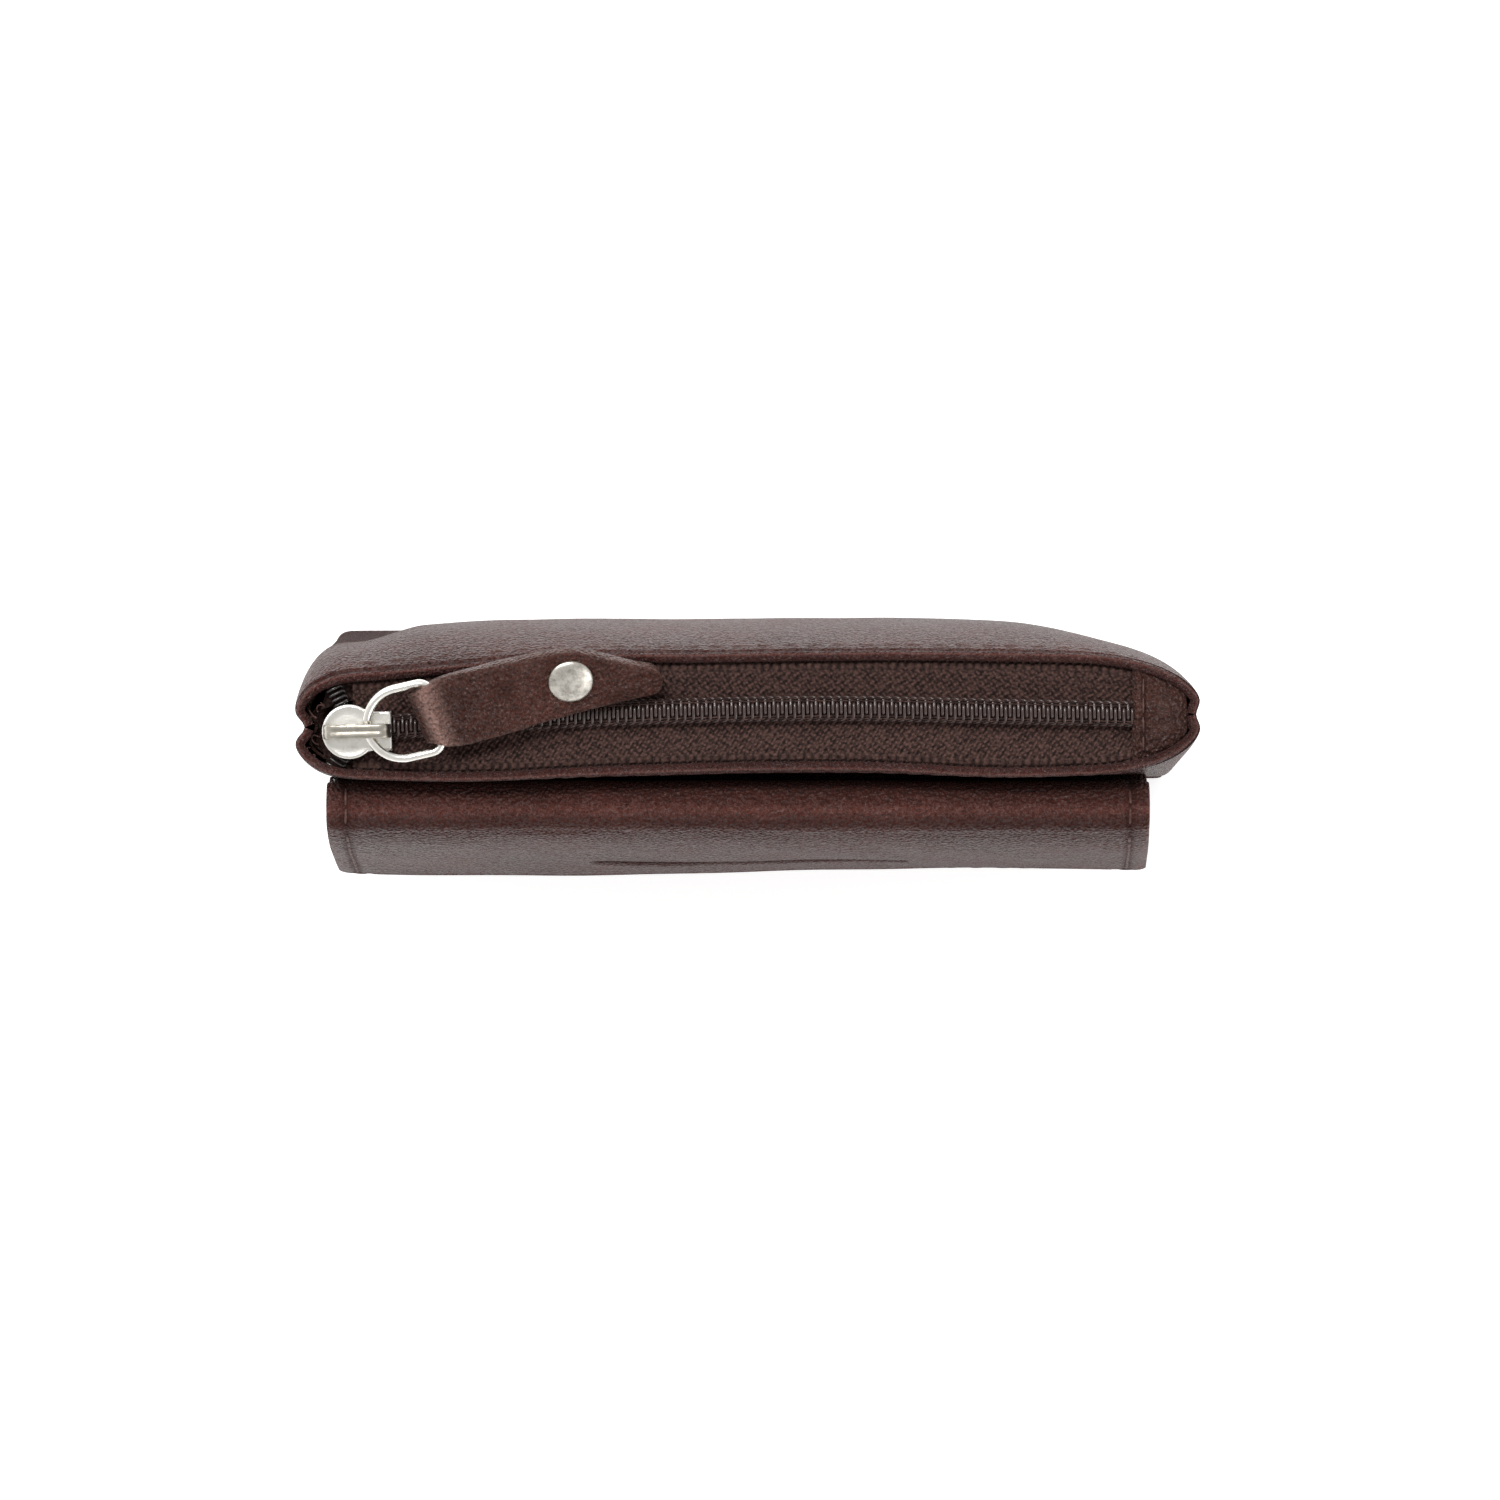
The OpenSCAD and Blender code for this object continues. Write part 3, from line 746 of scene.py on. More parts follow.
# Left of this place the rows can part, and right of it they stay sewn together.
SPLIT_X = 46.5
TAPE_LEFT = -54.5
TAPE_RIGHT = 57.0
TAB_LEFT = span("zip_end_tab")[0][0]
CHAIN_START = SLIDER_X - 2.0
LONG_TURNS = int((SPLIT_X - CHAIN_START) / COIL_PITCH)
ALL_TURNS = int((TAB_LEFT - CHAIN_START) / COIL_PITCH) + 1


def mouth_edge(x, side):
    """The inner face of a lip."""
    level = panel_level(LIP_Z, side)
    away = outward(level, side)
    inner = level[:, :2] - away * (HEM_T - 0.1)
    order = np.argsort(inner[:, 0])
    return np.interp(x, inner[order, 0], inner[order, 1])


def parting(x):
    """How far each row of the chain stands from the middle, inside and left of the slider."""
    return 0.713 * np.clip(SLIDER_X + 1.0 - x, 0, None) ** 0.85


def lip_anchor(side, z):
    """A place on a lip's inner face at X = 0 and height z, in metres."""
    y = back_lip(0) - HEM_T if side > 0 else front_lip(0) + HEM_T
    return (0, float(y) * MM, z * MM)


def tape_mesh(name, side, low_x, high_x, squash, node=None):
    """The woven tape between a row of the coil and its lip."""
    cols = int((high_x - low_x) / 0.16)
    rows = 56
    x = np.linspace(low_x, high_x, cols)[None, :]
    v = np.linspace(0, 1, rows)[:, None]
    inner = chain_line(x) + side * (0.75 + parting(x))
    outer = mouth_edge(x[0], side)[None, :]
    y = inner + (outer - inner) * v
    width = np.abs(outer - inner)
    across = width * v
    # Twill: small yarn crowns in slanted rows, with a row of ribs along the outer edge.
    phase = 2 * math.pi * x / COIL_PITCH
    row = 2 * math.pi * across / 1.12
    crown = 0.15 * np.cos(phase + 1.0 * np.sin(row)) * np.cos(row) + 0.09 * np.cos(2 * phase + row)
    from_edge = width - across
    rib_zone = smooth((1.5 - from_edge) / 0.4) * smooth((from_edge - 0.2) / 0.3)
    rib = np.abs(np.cos(phase / 2)) ** 0.8 * rib_zone
    relief = crown * (1 - rib_zone) + 0.45 * rib
    # Painted highlights: light specks at random on the tops of the yarn crowns.
    speck = RNG.uniform(0.2, 1.0, relief.shape) * smooth(crown / 0.15) * (1 - rib_zone)
    sag = 0.85 * smooth((across - 2.3) / 2.4)
    rough = 0.05 * ripple(x * 9, y * 11, 4.1)
    z = TAPE_TOP - 0.25 + sag + relief + rough + lip_height(x)
    grid = np.stack(np.broadcast_arrays(x, y, z), axis=-1).astype(float)
    if side < 0:
        grid = grid[::-1]
    piece = grid_piece(name, grid, TAPE, "pouch")
    # The painted highlights on the crowns, with more along the tops of the ribs.
    crest = speck + 0.3 * smooth((rib - 0.45) / 0.4)
    attribute(piece, "crown", crest[::-1] if side < 0 else crest)
    if node:
        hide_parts(node)
    if squash:
        lip_anchor(side, TAPE_TOP)
        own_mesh(piece)


def loop_shape():
    """One turn of the coil as (across, up, forward): across is 0 at the chain's middle and grows outwards."""
    head, outer, up = -0.5, 1.3, 0.38
    turn = []
    for t in np.linspace(0, 1, 7, endpoint=False):
        turn.append((outer + (head - outer) * t, up - 0.2 + 0.42 * math.sin(math.pi * (0.1 + 0.62 * t)), 0.0))
    for t in np.linspace(0, 1, 4, endpoint=False):
        a = math.pi * t
        turn.append((head - 0.24 * math.sin(a), 0.53 * math.cos(a), 0.0))
    for t in np.linspace(0, 1, 4, endpoint=False):
        turn.append((head + (outer - head) * t, -up, 0.0))
    for t in np.linspace(0, 1, 5, endpoint=False):
        a = math.pi * t
        turn.append((outer + 0.32 * math.sin(a), -up * math.cos(a), smooth(t)))
    return np.array(turn)


def coil_mesh(name, side, turns, squash, node=None):
    """One row of the coil, wound from a single filament."""
    turn = loop_shape()
    first = CHAIN_START + (0 if side > 0 else COIL_PITCH / 2)
    path = []
    for k in turns:
        for across, up, forward in turn:
            x = first + (k + forward) * COIL_PITCH
            y = float(chain_line(x)) + side * (across + float(parting(x)))
            path.append((x, y, COIL_MID + 0.12 + up + float(lip_height(x))))
    parts = Parts()
    add_tube(parts, path, COIL_R, up=(1, 0, 0))
    piece = parts.piece(name, COIL, "pouch")
    if node:
        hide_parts(node)
    if squash:
        lip_anchor(side, COIL_MID)
        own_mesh(piece)


def binding_mesh(name, side, low_x, high_x, squash):
    """The thread that sews a row of the coil to its tape: it crosses every leg."""
    x = np.arange(low_x, high_x, COIL_PITCH / 6)
    phase = 2 * math.pi * (x - low_x) / COIL_PITCH
    parts = Parts()
    for across, radius in ((1.05, 0.12), (1.4, 0.11)):
        y = chain_line(x) + side * (across + parting(x)) + 0.03 * np.sin(phase)
        z = COIL_MID + 0.62 + 0.07 * np.cos(phase) + lip_height(x)
        add_tube(parts, np.stack([x, y, z], axis=1), radius, 6)
    piece = parts.piece(name, TAPE, "pouch")
    if squash:
        lip_anchor(side, COIL_MID)
        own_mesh(piece)


for side, word in ((1, "back"), (-1, "front")):
    tape_mesh(f"zip_tape_{word}_weave", side, TAPE_LEFT, SPLIT_X, True, f"zip_tape_{word}")
    tape_mesh(f"zip_tape_{word}_end", side, SPLIT_X, TAPE_RIGHT, False)
    coil_mesh(f"zip_coil_{word}_turns", side, range(LONG_TURNS), True, f"zip_coil_{word}")
    coil_mesh(f"zip_coil_{word}_end", side, range(LONG_TURNS, ALL_TURNS), False)
    binding_mesh(f"zip_sewing_{word}", side, SLIDER_X + 6, SPLIT_X, True)
    binding_mesh(f"zip_sewing_{word}_end", side, SPLIT_X, TAB_LEFT, False)


def left_end_tape(name, side):
    """The tape's loose left end, turned aside beside the slider and tucked towards the lip's lobe."""
    rows, cols = 18, 26
    u = np.linspace(0, 1, cols)[None, :]
    v = np.linspace(0, 1, rows)[:, None]
    x = -51.5 - 7.6 * u + 1.0 * v * u
    seam = mouth_seam(x)
    inner = seam + side * (3.3 + 0.9 * np.sin(3.0 * u) - 1.2 * u)
    outer = np.array([mouth_edge(row, side) for row in x])
    y = inner + (outer - inner) * v
    z = TAPE_TOP - 0.35 - 1.0 * u + 0.35 * np.sin(9 * u + 2 * v) + 0.8 * v - 0.3 * u * v
    z = z + 0.06 * ripple(x * 9, y * 11, 2.2)
    grid = np.stack(np.broadcast_arrays(x, y, z), axis=-1).astype(float)
    if side > 0:
        grid = grid[::-1]
    piece = grid_piece(name, grid, TAPE, "pouch")


def left_end_coil(name, side):
    """A few turns of the coil that stick out past the slider, pressed flat."""
    start = np.array([-56.6, 7.9 if side > 0 else -1.9, TAPE_TOP + 0.55])
    lean = math.radians(118 if side > 0 else 236)
    along = np.array([math.cos(lean), math.sin(lean), 0.0]) * 0.72
    across = np.array([math.cos(lean - math.pi / 2), math.sin(lean - math.pi / 2), 0.0])
    path = []
    for k in range(5):
        for a, up, forward in loop_shape():
            place = start - along * 2.2 + along * (k + forward) * 1.05
            path.append(place + across * (a - 0.6) * 0.95 * side + np.array([0, 0, up * 0.8]))
    parts = Parts()
    add_tube(parts, path, 0.23, 8, up=tuple(along))
    piece = parts.piece(name, BLACK_COIL, "pouch")


def loose_fibres():
    """Short ends of thread in the left end of the mouth."""
    parts = Parts()
    for x, y, turn in ((-60.2, -0.4, 0.4), (-59.6, 1.6, 2.4), (-58.9, 6.0, 4.0), (-60.0, 4.6, 5.1)):
        t = np.linspace(0, 1, 14)
        path = np.stack(
            [
                x + 0.55 * np.sin(5.5 * t + turn),
                y + 1.1 * (t - 0.5) + 0.35 * np.cos(7 * t + turn),
                TAPE_TOP + 0.1 + 0.5 * np.sin(3 * t),
            ],
            axis=1,
        )
        add_tube(parts, path, 0.09, 6)
    piece = parts.piece("zip_left_fibres", THREAD, "pouch")


def left_end_lining():
    """Leather and lining seen in the gap at the left end, behind the slider."""
    rows, cols = 14, 22
    v = np.linspace(-1, 1, rows)[:, None]
    u = np.linspace(0, 1, cols)[None, :]
    x = -60.6 + 6.0 * u
    y = mouth_seam(x) + v * (1.2 + 4.6 * u**0.6)
    z = 87.6 + 2.0 * np.abs(v) ** 2 * (1 - u) + 0.5 * np.sin(8 * u + 3 * v) - 1.2 * u
    grid = np.stack(np.broadcast_arrays(x, y, z), axis=-1).astype(float)
    piece = grid_piece("zip_left_lining", grid, LINING, "pouch")


for side, word in ((1, "back"), (-1, "front")):
    left_end_tape(f"zip_tape_{word}_tuck", side)
    left_end_coil(f"zip_coil_{word}_stub", side)
loose_fibres()
left_end_lining()


def end_tab():
    """The leather tab sewn over the zip's right end, puffed between its folded edge and the pinched seam."""
    rows, cols = 30, 40
    u = np.linspace(0, 1, cols)[None, :]
    v = np.linspace(-1, 1, rows)[:, None]
    x = TAB_LEFT - 0.25 + (HALF_W - 1.0 - TAB_LEFT) * u
    back = mouth_edge(x[0], 1)[None, :] + 0.15
    front = mouth_edge(x[0], -1)[None, :] - 0.15
    back = np.maximum(back, mouth_seam(x) + 0.25)
    front = np.minimum(front, mouth_seam(x) - 0.25)
    y = (back + front) / 2 + (back - front) / 2 * v
    puff = 1.15 * np.sin(math.pi * np.clip(u * 1.05, 0, 1)) ** 0.6 * (1 - np.abs(v) ** 3.5)
    fold = 0.35 * np.exp(-(((u - 0.03) / 0.05) ** 2))
    groove = -0.38 * np.exp(-(((u - 0.17) / 0.035) ** 2)) * (1 - np.abs(v) ** 6)
    pinch = -0.5 * np.exp(-((v / 0.16) ** 2)) * smooth((u - 0.62) / 0.3)
    z = COIL_HIGH + 0.05 + puff + fold + groove + pinch + 0.05 * ripple(x * 5, y * 6, 5.0) + lip_height(x)
    z = z + 0.55 * u * (1 - np.abs(v))
    top = np.stack(np.broadcast_arrays(x, y, z), axis=-1).astype(float)
    under = top[:, :1].copy()
    under[..., 2] -= 1.5
    rim = top[:, :1].copy()
    rim[..., 0] -= 0.3
    rim[..., 2] -= 0.45
    grid = np.concatenate([under, rim, top], axis=1)
    piece = grid_piece("zip_end_tab_skin", grid, PULL_LEATHER, "pouch")
    wear_and_highlight = np.concatenate([np.zeros((rows, 1)), np.full((rows, 1), 0.1), 0.04 + 0 * z], axis=1)
    attribute(piece, "wear_and_highlight", wear_and_highlight)
    # Painted shade in the stitched groove near the tab's folded edge.
    dark = np.concatenate([np.zeros((rows, 2)), np.clip(-2.0 * groove, 0, 0.7) + 0 * z], axis=1)
    attribute(piece, "shade", dark)
    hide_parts("zip_end_tab")
    column = int(0.17 * (cols - 1))
    line = top[3:-3, column].copy()
    line[:, 2] += 0.08
    ups = np.tile([0, 0, 1.0], (len(line), 1))
    seam_stitches("zip_end_tab_threads", line, ups, 2.6, 1.9, ["zip_end_tab_stitching"], radius=0.17)


end_tab()


# --------------------------------------------------------------------- slider

JOINTS = {joint["name"]: joint for joint in frame["joints"]}
SLIDE_AXIS = np.array(JOINTS["zip_slide"]["axis"])
CHAIN_YAW = math.atan2(SLIDE_AXIS[1], SLIDE_AXIS[0])
NECK_END = 5.85
NECK_HALF = 2.72
RING_PIVOT = np.array(JOINTS["ring_hinge"]["pos_m"]) / MM
BAR_PLACE = np.array(JOINTS["pull_hinge"]["pos_m"]) / MM
RING_X = 2.6
HEAD_CENTRE = RING_PIVOT[:2] - RING_X * np.array([math.cos(CHAIN_YAW), math.sin(CHAIN_YAW)])


def place_on_slider(points):
    """From the slider's own axes, X along the chain about the head's centre, to the pouch's."""
    points = np.asarray(points, float)
    c, s = math.cos(CHAIN_YAW), math.sin(CHAIN_YAW)
    x = HEAD_CENTRE[0] + c * points[..., 0] - s * points[..., 1]
    y = HEAD_CENTRE[1] + s * points[..., 0] + c * points[..., 1]
    return np.stack([x, y, points[..., 2]], axis=-1)


def slider_outline(inset=0.0, count=56):
    """The slider's plan: a round head that runs into a squared neck."""
    r = HEAD_R - inset
    w = NECK_HALF - inset
    meet = math.asin(w / r)
    arc = np.linspace(meet, 2 * math.pi - meet, count)
    points = [(r * math.cos(a), r * math.sin(a)) for a in arc]
    corner = 0.35
    end = NECK_END - inset
    points += [(end - corner, -w), (end - 0.1, -w + 0.1), (end, -w + corner)]
    points += [(end, w - corner), (end - 0.1, w - 0.1), (end - corner, w)]
    return np.array(points)


def plate_rows(parts, rows):
    """A closed plate from (z, inset) rows."""
    loops = []
    for z, inset in rows:
        flat = slider_outline(inset)
        loops.append(np.column_stack([flat, np.full(len(flat), z)]))
    grid = place_on_slider(np.array(loops))
    count = grid.shape[1]
    start = parts.count
    parts.add_ring_grid(grid)
    parts.faces.append(tuple(start + j for j in reversed(range(count))))
    last = start + (len(rows) - 1) * count
    parts.faces.append(tuple(last + j for j in range(count)))


def slider_flange(parts, side, low, high):
    """The side wall that guides one row of the coil."""
    xs = np.linspace(-0.4, NECK_END - 0.05, 20)
    meet = math.sqrt(HEAD_R**2 - NECK_HALF**2)
    outer = np.where(xs < meet, np.sqrt(np.maximum(HEAD_R**2 - xs**2, 0)), NECK_HALF)
    inner = outer - 0.5
    ring = [(outer, low), (outer, high), (inner, high), (inner, low)]
    grid = np.array([[(x, side * y, z) for x, y in zip(xs, edge)] for edge, z in ring])
    grid = place_on_slider(np.transpose(grid, (1, 0, 2)))
    if side < 0:
        grid = grid[::-1]
    start = parts.count
    parts.add_ring_grid(grid)
    parts.close_ends(start, len(xs), len(ring))


def slider_casting():
    """The slider's body: a bottom and a top plate, two guiding walls and the wedge between them."""
    low, high = (corner[2] for corner in span("slider_body"))
    cap = high - 1.1
    parts = Parts()
    rim = 0.14
    plate_rows(parts, [(low, 0.25), (low + rim, 0.03), (low + 0.65, 0), (low + 0.8, 0.12)])
    bevel = [(cap, 0.2), (cap + rim, 0.0), (high - 0.26, 0.0), (high - 0.1, 0.07), (high - 0.02, 0.2)]
    dish = [(high, 0.42), (high - 0.05, 0.62), (high, 1.6), (high + 0.03, 2.3)]
    plate_rows(parts, bevel + dish)
    for side in (1, -1):
        slider_flange(parts, side, 91.15, cap + 0.1)
    wedge = [(-3.4, 0.5), (-1.6, 0.72), (-0.7, 0.0), (-1.6, -0.72), (-3.4, -0.5)]
    rows = np.array([[(x, y, z) for x, y in wedge] for z in (low + 0.75, cap + 0.1)])
    parts.add_ring_grid(place_on_slider(rows))
    piece = parts.piece("slider_casting", NICKEL, "slider")
    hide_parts("slider_body")


slider_casting()


def swept_strip(profile, path_xz, half_w):
    """A strip bent in X and Z, with the same section at each place along it."""
    path = np.asarray(path_xz, float)
    tangent = np.gradient(path, axis=0)
    tangent /= np.linalg.norm(tangent, axis=1)[:, None]
    normal = np.stack([-tangent[:, 1], tangent[:, 0]], axis=1)
    rows = []
    for (x, z), (out_x, out_z) in zip(path, normal):
        rows.append([(x + out_x * up, y * half_w, z + out_z * up) for y, up in profile])
    return np.array(rows)


def slider_arch():
    """The bridge that holds the ring: a bent strip with a groove along its top."""
    low, high = span("slider_bridge")
    base, top = low[2] - 0.15, high[2]
    left, right = -3.3, 5.5
    t = 0.34
    path = [
        (left + 0.12, base), (left + 0.1, base + 0.8), (left + 0.18, top - 1.7), (left + 0.5, top - 0.95),
        (left + 1.0, top - 0.55), (left + 1.7, top - t), (left + 3.0, top - t), (left + 4.4, top - t),
        (right - 2.2, top - t), (right - 1.1, top - t), (right - 0.55, top - 0.5), (right - 0.2, top - 1.0),
        (right - 0.1, base + 1.2), (right - 0.1, base),
    ]
    fine = np.linspace(0, len(path) - 1, 56)
    path = np.array([[np.interp(k, range(len(path)), [p[a] for p in path]) for a in (0, 1)] for k in fine])
    half_top = [(0.08, t - 0.05), (0.3, t), (0.75, t), (0.93, 0.3), (1, 0.12)]
    top_side = [(-y, up) for y, up in reversed(half_top)] + half_top
    profile = top_side + [(1, -0.2), (0.9, -t), (-0.9, -t), (-1, -0.2)]
    grid = place_on_slider(swept_strip(profile[::-1], path, 0.98))
    parts = Parts()
    parts.add_ring_grid(grid)
    parts.close_ends(0, *grid.shape[:2])
    piece = parts.piece("slider_arch", BRIDGE_NICKEL, "slider")
    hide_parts("slider_bridge")


slider_arch()


# -------------------------------------------------------------- ring and pull

PULL_YAW = math.atan2(BAR_PLACE[1] - RING_PIVOT[1], BAR_PLACE[0] - RING_PIVOT[0])
RING_REACH = float(np.linalg.norm(BAR_PLACE[:2] - RING_PIVOT[:2]))
PULL_AXIS = np.array(JOINTS["pull_hinge"]["axis"])
RING_ROLL = math.asin(abs(PULL_AXIS[2]))
RING_HALF = 4.9
WIRE_R = 0.6


def place_on_ring(points):
    """From the ring's own axes, X from its pivot to its bar, to the pouch's."""
    points = np.asarray(points, float)
    roll = Matrix.Rotation(RING_ROLL, 3, "X")
    turn = np.array(Matrix.Rotation(PULL_YAW, 3, "Z") @ roll)
    return points @ turn.T + RING_PIVOT


def ring_wire():
    """The D-shaped ring: a half circle under the bridge, two arms and a straight bar with round corners."""
    path = []
    for a in np.linspace(math.pi / 2, 3 * math.pi / 2, 40):
        path.append((RING_HALF + RING_HALF * math.cos(a), RING_HALF * math.sin(a)))
    corner = 1.7
    for x in np.linspace(RING_HALF + 0.4, RING_REACH - corner, 8, endpoint=False):
        path.append((x, -RING_HALF))
    for a in np.linspace(-math.pi / 2, 0, 10):
        path.append((RING_REACH - corner + corner * math.cos(a), -RING_HALF + corner + corner * math.sin(a)))
    for y in np.linspace(-RING_HALF + corner + 0.5, RING_HALF - corner - 0.5, 12):
        path.append((RING_REACH, y))
    for a in np.linspace(0, math.pi / 2, 10):
        path.append((RING_REACH - corner + corner * math.cos(a), RING_HALF - corner + corner * math.sin(a)))
    for x in np.linspace(RING_REACH - corner, RING_HALF + 0.4, 8):
        path.append((x, RING_HALF))
    flat = np.array([(x, y, 0.0) for x, y in path])
    closed = np.concatenate([flat[-2:], flat, flat[:2]])
    grid = tube_grid(closed, WIRE_R, 14)[2:-2]
    piece = grid_piece("ring_wire", place_on_ring(grid), NICKEL, "ring", wrap_rows=True, wrap_cols=True)
    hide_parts("d_ring")


ring_wire()

# The pull's two edges as places across it, from the ring's bar (0) to its tip, and how it lies.
PULL_TIP = 31.2
pull_back_edge = curve_through(
    [(-1.9, 3.7), (0.6, 4.7), (7, 5.3), (16, 5.4), (20.5, 5.0), (25, 2.6), (28.5, 0.6), (31, -0.4)]
)
pull_front_edge = curve_through([(-1.9, -3.4), (0.4, -4.4), (6, -4.7), (16, -4.1), (26, -3.9), (30.6, -4.0)])
pull_roll = curve_through([(-2, 0.0), (4, 3.0), (12, 11.0), (19, 15.0), (31, 13.0)])
pull_lift = curve_through([(-2, 0.0), (5, 0.05), (12, -0.1), (19, 0.1), (26, -0.2), (31.5, -1.0)])
LAYER_T = 1.1
NOSE_REACH = 2.75


def pull_point(s, v, height):
    """s along the pull, v from -1 at its front edge to 1 at its back edge, height above its middle layer."""
    back, front = pull_back_edge(s), pull_front_edge(s)
    w = (back + front) / 2 + (back - front) / 2 * v
    roll = np.radians(pull_roll(s))
    z = pull_lift(s) + w * np.sin(roll) + height * np.cos(roll)
    w = w * np.cos(roll) - height * np.sin(roll)
    return s, w, z


def place_on_pull(s, w, z):
    """From the pull's own axes, X from the ring's bar to its tip, to the pouch's."""
    slant = 0.15 * w * (1 - smooth((s + 2) / 9))
    points = np.stack(np.broadcast_arrays(s - slant + RING_REACH, w, z), axis=-1).astype(float)
    return place_on_ring(points)


def pull_leather():
    """One long strip folded round the ring's bar: two layers that lie on each other, with a rounded nose."""
    nose_r = LAYER_T + 0.68
    half = 22
    along = list(np.linspace(PULL_TIP, 1.2, 64))
    fold = np.linspace(90, 270, 22)
    v = np.linspace(-1, 1, half)

    def tip_round(s):
        """Narrows the last few millimetres so that the tip is round."""
        t = np.clip((s - (PULL_TIP - 1.8)) / 1.8, 0, 1)
        return np.sqrt(np.maximum(1 - t**2.4, 0.0))

    def layer(s, sign):
        rounding = tip_round(s)
        edge = np.abs(v) ** 8
        thick = sign * (LAYER_T * (1 - 0.12 * edge))
        swell = 0.064 * sign * ripple(s * 3.2, v * 14, 3.0 + sign)
        crease = -0.22 * np.exp(-(((v - 0.12) / 0.22) ** 2)) * smooth((s - 2) / 6) * smooth((30 - s) / 6)
        dish = -0.35 * np.exp(-(((s - 19) / 4.5) ** 2) - ((v / 0.7) ** 2)) if sign > 0 else 0.0
        height = thick + swell * smooth(s / 4) + (crease + dish if sign > 0 else 0.0)
        return place_on_pull(*pull_point(np.full_like(v, s), v * rounding, height))

    rows = [layer(s, 1) for s in along]
    for angle in fold:
        a = math.radians(angle)
        s = NOSE_REACH * math.cos(a)
        z = nose_r * math.sin(a)
        pucker = 0.05 * np.sin(v * 23 + 1.0) * abs(math.cos(a))
        back, front = float(pull_back_edge(s)), float(pull_front_edge(s))
        w = (back + front) / 2 + (back - front) / 2 * v
        rows.append(place_on_pull(np.full_like(v, s) - pucker, w, np.full_like(v, z)))
    rows += [layer(s, -1) for s in reversed(along)]
    grid = np.array(rows)
    count, cols = grid.shape[:2]
    faces = grid_faces(count, cols)
    # The edges: each row of the top layer is joined to the row below it.
    top, total = len(along) + len(fold) // 2, count - 1
    for i in range(top):
        a, b = i, i + 1
        c, d = total - i, total - i - 1
        for edge in (0, cols - 1):
            quad = (a * cols + edge, b * cols + edge, d * cols + edge, c * cols + edge)
            faces.append(quad if edge == 0 else quad[::-1])
    piece = make("pull_leather_strap", grid.reshape(-1, 3), faces, PULL_LEATHER, "pull")
    nose = np.zeros((count, cols))
    # A light band round the nose, rubbed wear with a painted highlight on it, and a little wear along both
    # edges.
    for i in range(count):
        arc = i - len(along)
        nose[i] = 0.9 * math.exp(-(((arc - 1.5) / 2.6) ** 2)) + 0.15 * (np.abs(v) ** 14)
    attribute(piece, "wear_and_highlight", nose)
    patches = np.zeros((count, cols))
    for i, s in enumerate(along):
        patches[i] = 0.35 * np.clip(ripple(s * 6.0, v * 30 + s * 2, 8.0) - 0.35, 0, 1)
    attribute(piece, "shade", patches)
    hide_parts("pull_strap")


pull_leather()

RIVET_S = 18.95
RIVET_W = 0.95
CAP_R = 3.1


def rivet(name, node, profile, sign, material):
    """A turned piece that stands square on the pull at the rivet's place."""
    base = np.array([RING_REACH + RIVET_S, RIVET_W, float(pull_lift(RIVET_S))])
    tilt = math.radians(float(pull_roll(RIVET_S)))
    along = np.array([1, 0, 0])
    across = np.array([0, math.cos(tilt), math.sin(tilt)])
    up = np.array([0, -math.sin(tilt), math.cos(tilt)])
    sides = 64
    rows = []
    for radius, height in profile:
        centre = base + up * sign * height
        turns = np.linspace(0, 2 * math.pi, sides, endpoint=False)
        rows.append([centre + radius * (along * math.cos(a) + across * math.sin(a)) for a in turns])
    grid = place_on_ring(np.array(rows))
    if sign < 0:
        grid = grid[:, ::-1]
    parts = Parts()
    parts.add_ring_grid(grid)
    parts.faces.append(tuple((len(rows) - 1) * sides + k for k in range(sides)))
    piece = parts.piece(name, material, "pull")
    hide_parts(node)


cap = [(CAP_R - 0.25, LAYER_T - 0.3), (CAP_R, LAYER_T - 0.1), (CAP_R + 0.02, LAYER_T + 0.12)]
cap += [(CAP_R * math.sin(a), LAYER_T + 0.14 + 0.82 * math.cos(a)) for a in np.linspace(1.42, 0.03, 14)]
rivet("pull_rivet_cap", "pull_rivet", cap, 1, AGED_NICKEL)
foot = [(2.6, -0.3), (2.6, 0.1), (2.3, 0.3), (0.9, 0.32), (0.1, 0.2)]
foot = [(radius, LAYER_T + height) for radius, height in foot]
rivet("pull_rivet_base", "pull_rivet_back", foot, -1, AGED_NICKEL)


# ------------------------------------------------------- the flap and its fold

FLAP_LOW, FLAP_HIGH = span("flap_leather")
WALLET_LEFT, WALLET_RIGHT = FLAP_LOW[0], FLAP_HIGH[0]
FLAP_EDGE_Y = FLAP_LOW[1]
FLAP_EDGE_Z = FLAP_LOW[2] + 0.3
FOLD_R = 3.7
FOLD_Z = span("flap_fold_leather")[1][2] - FOLD_R
FOLD_Y = span("wallet_back_panel")[1][1] - FOLD_R
SLOPE = math.atan2(FOLD_Y - FOLD_R - FLAP_EDGE_Y, FOLD_Z - FLAP_EDGE_Z)
# The leather leaves the fold a little flatter than the flap hangs, and bends down over this length.
EASE_ANGLE = 0.27
EASE_LENGTH = 5.5
ARC_END = math.pi - SLOPE - EASE_ANGLE
ARC_Y = FOLD_Y + FOLD_R * math.cos(ARC_END)
ARC_Z = FOLD_Z + FOLD_R * math.sin(ARC_END)
CHORD = math.atan2(ARC_Y - FLAP_EDGE_Y, ARC_Z - FLAP_EDGE_Z)
FLAP_DOWN = math.hypot(ARC_Y - FLAP_EDGE_Y, ARC_Z - FLAP_EDGE_Z)
FLAP_T = 1.95
FLAP_CORNER = 4.0
STITCH_IN = 2.7
WALL_ROWS = 8
ARC_ROWS = 22
# The direction that the flap's front faces.
FLAP_OUT = np.array([0, -math.cos(SLOPE), math.sin(SLOPE)])
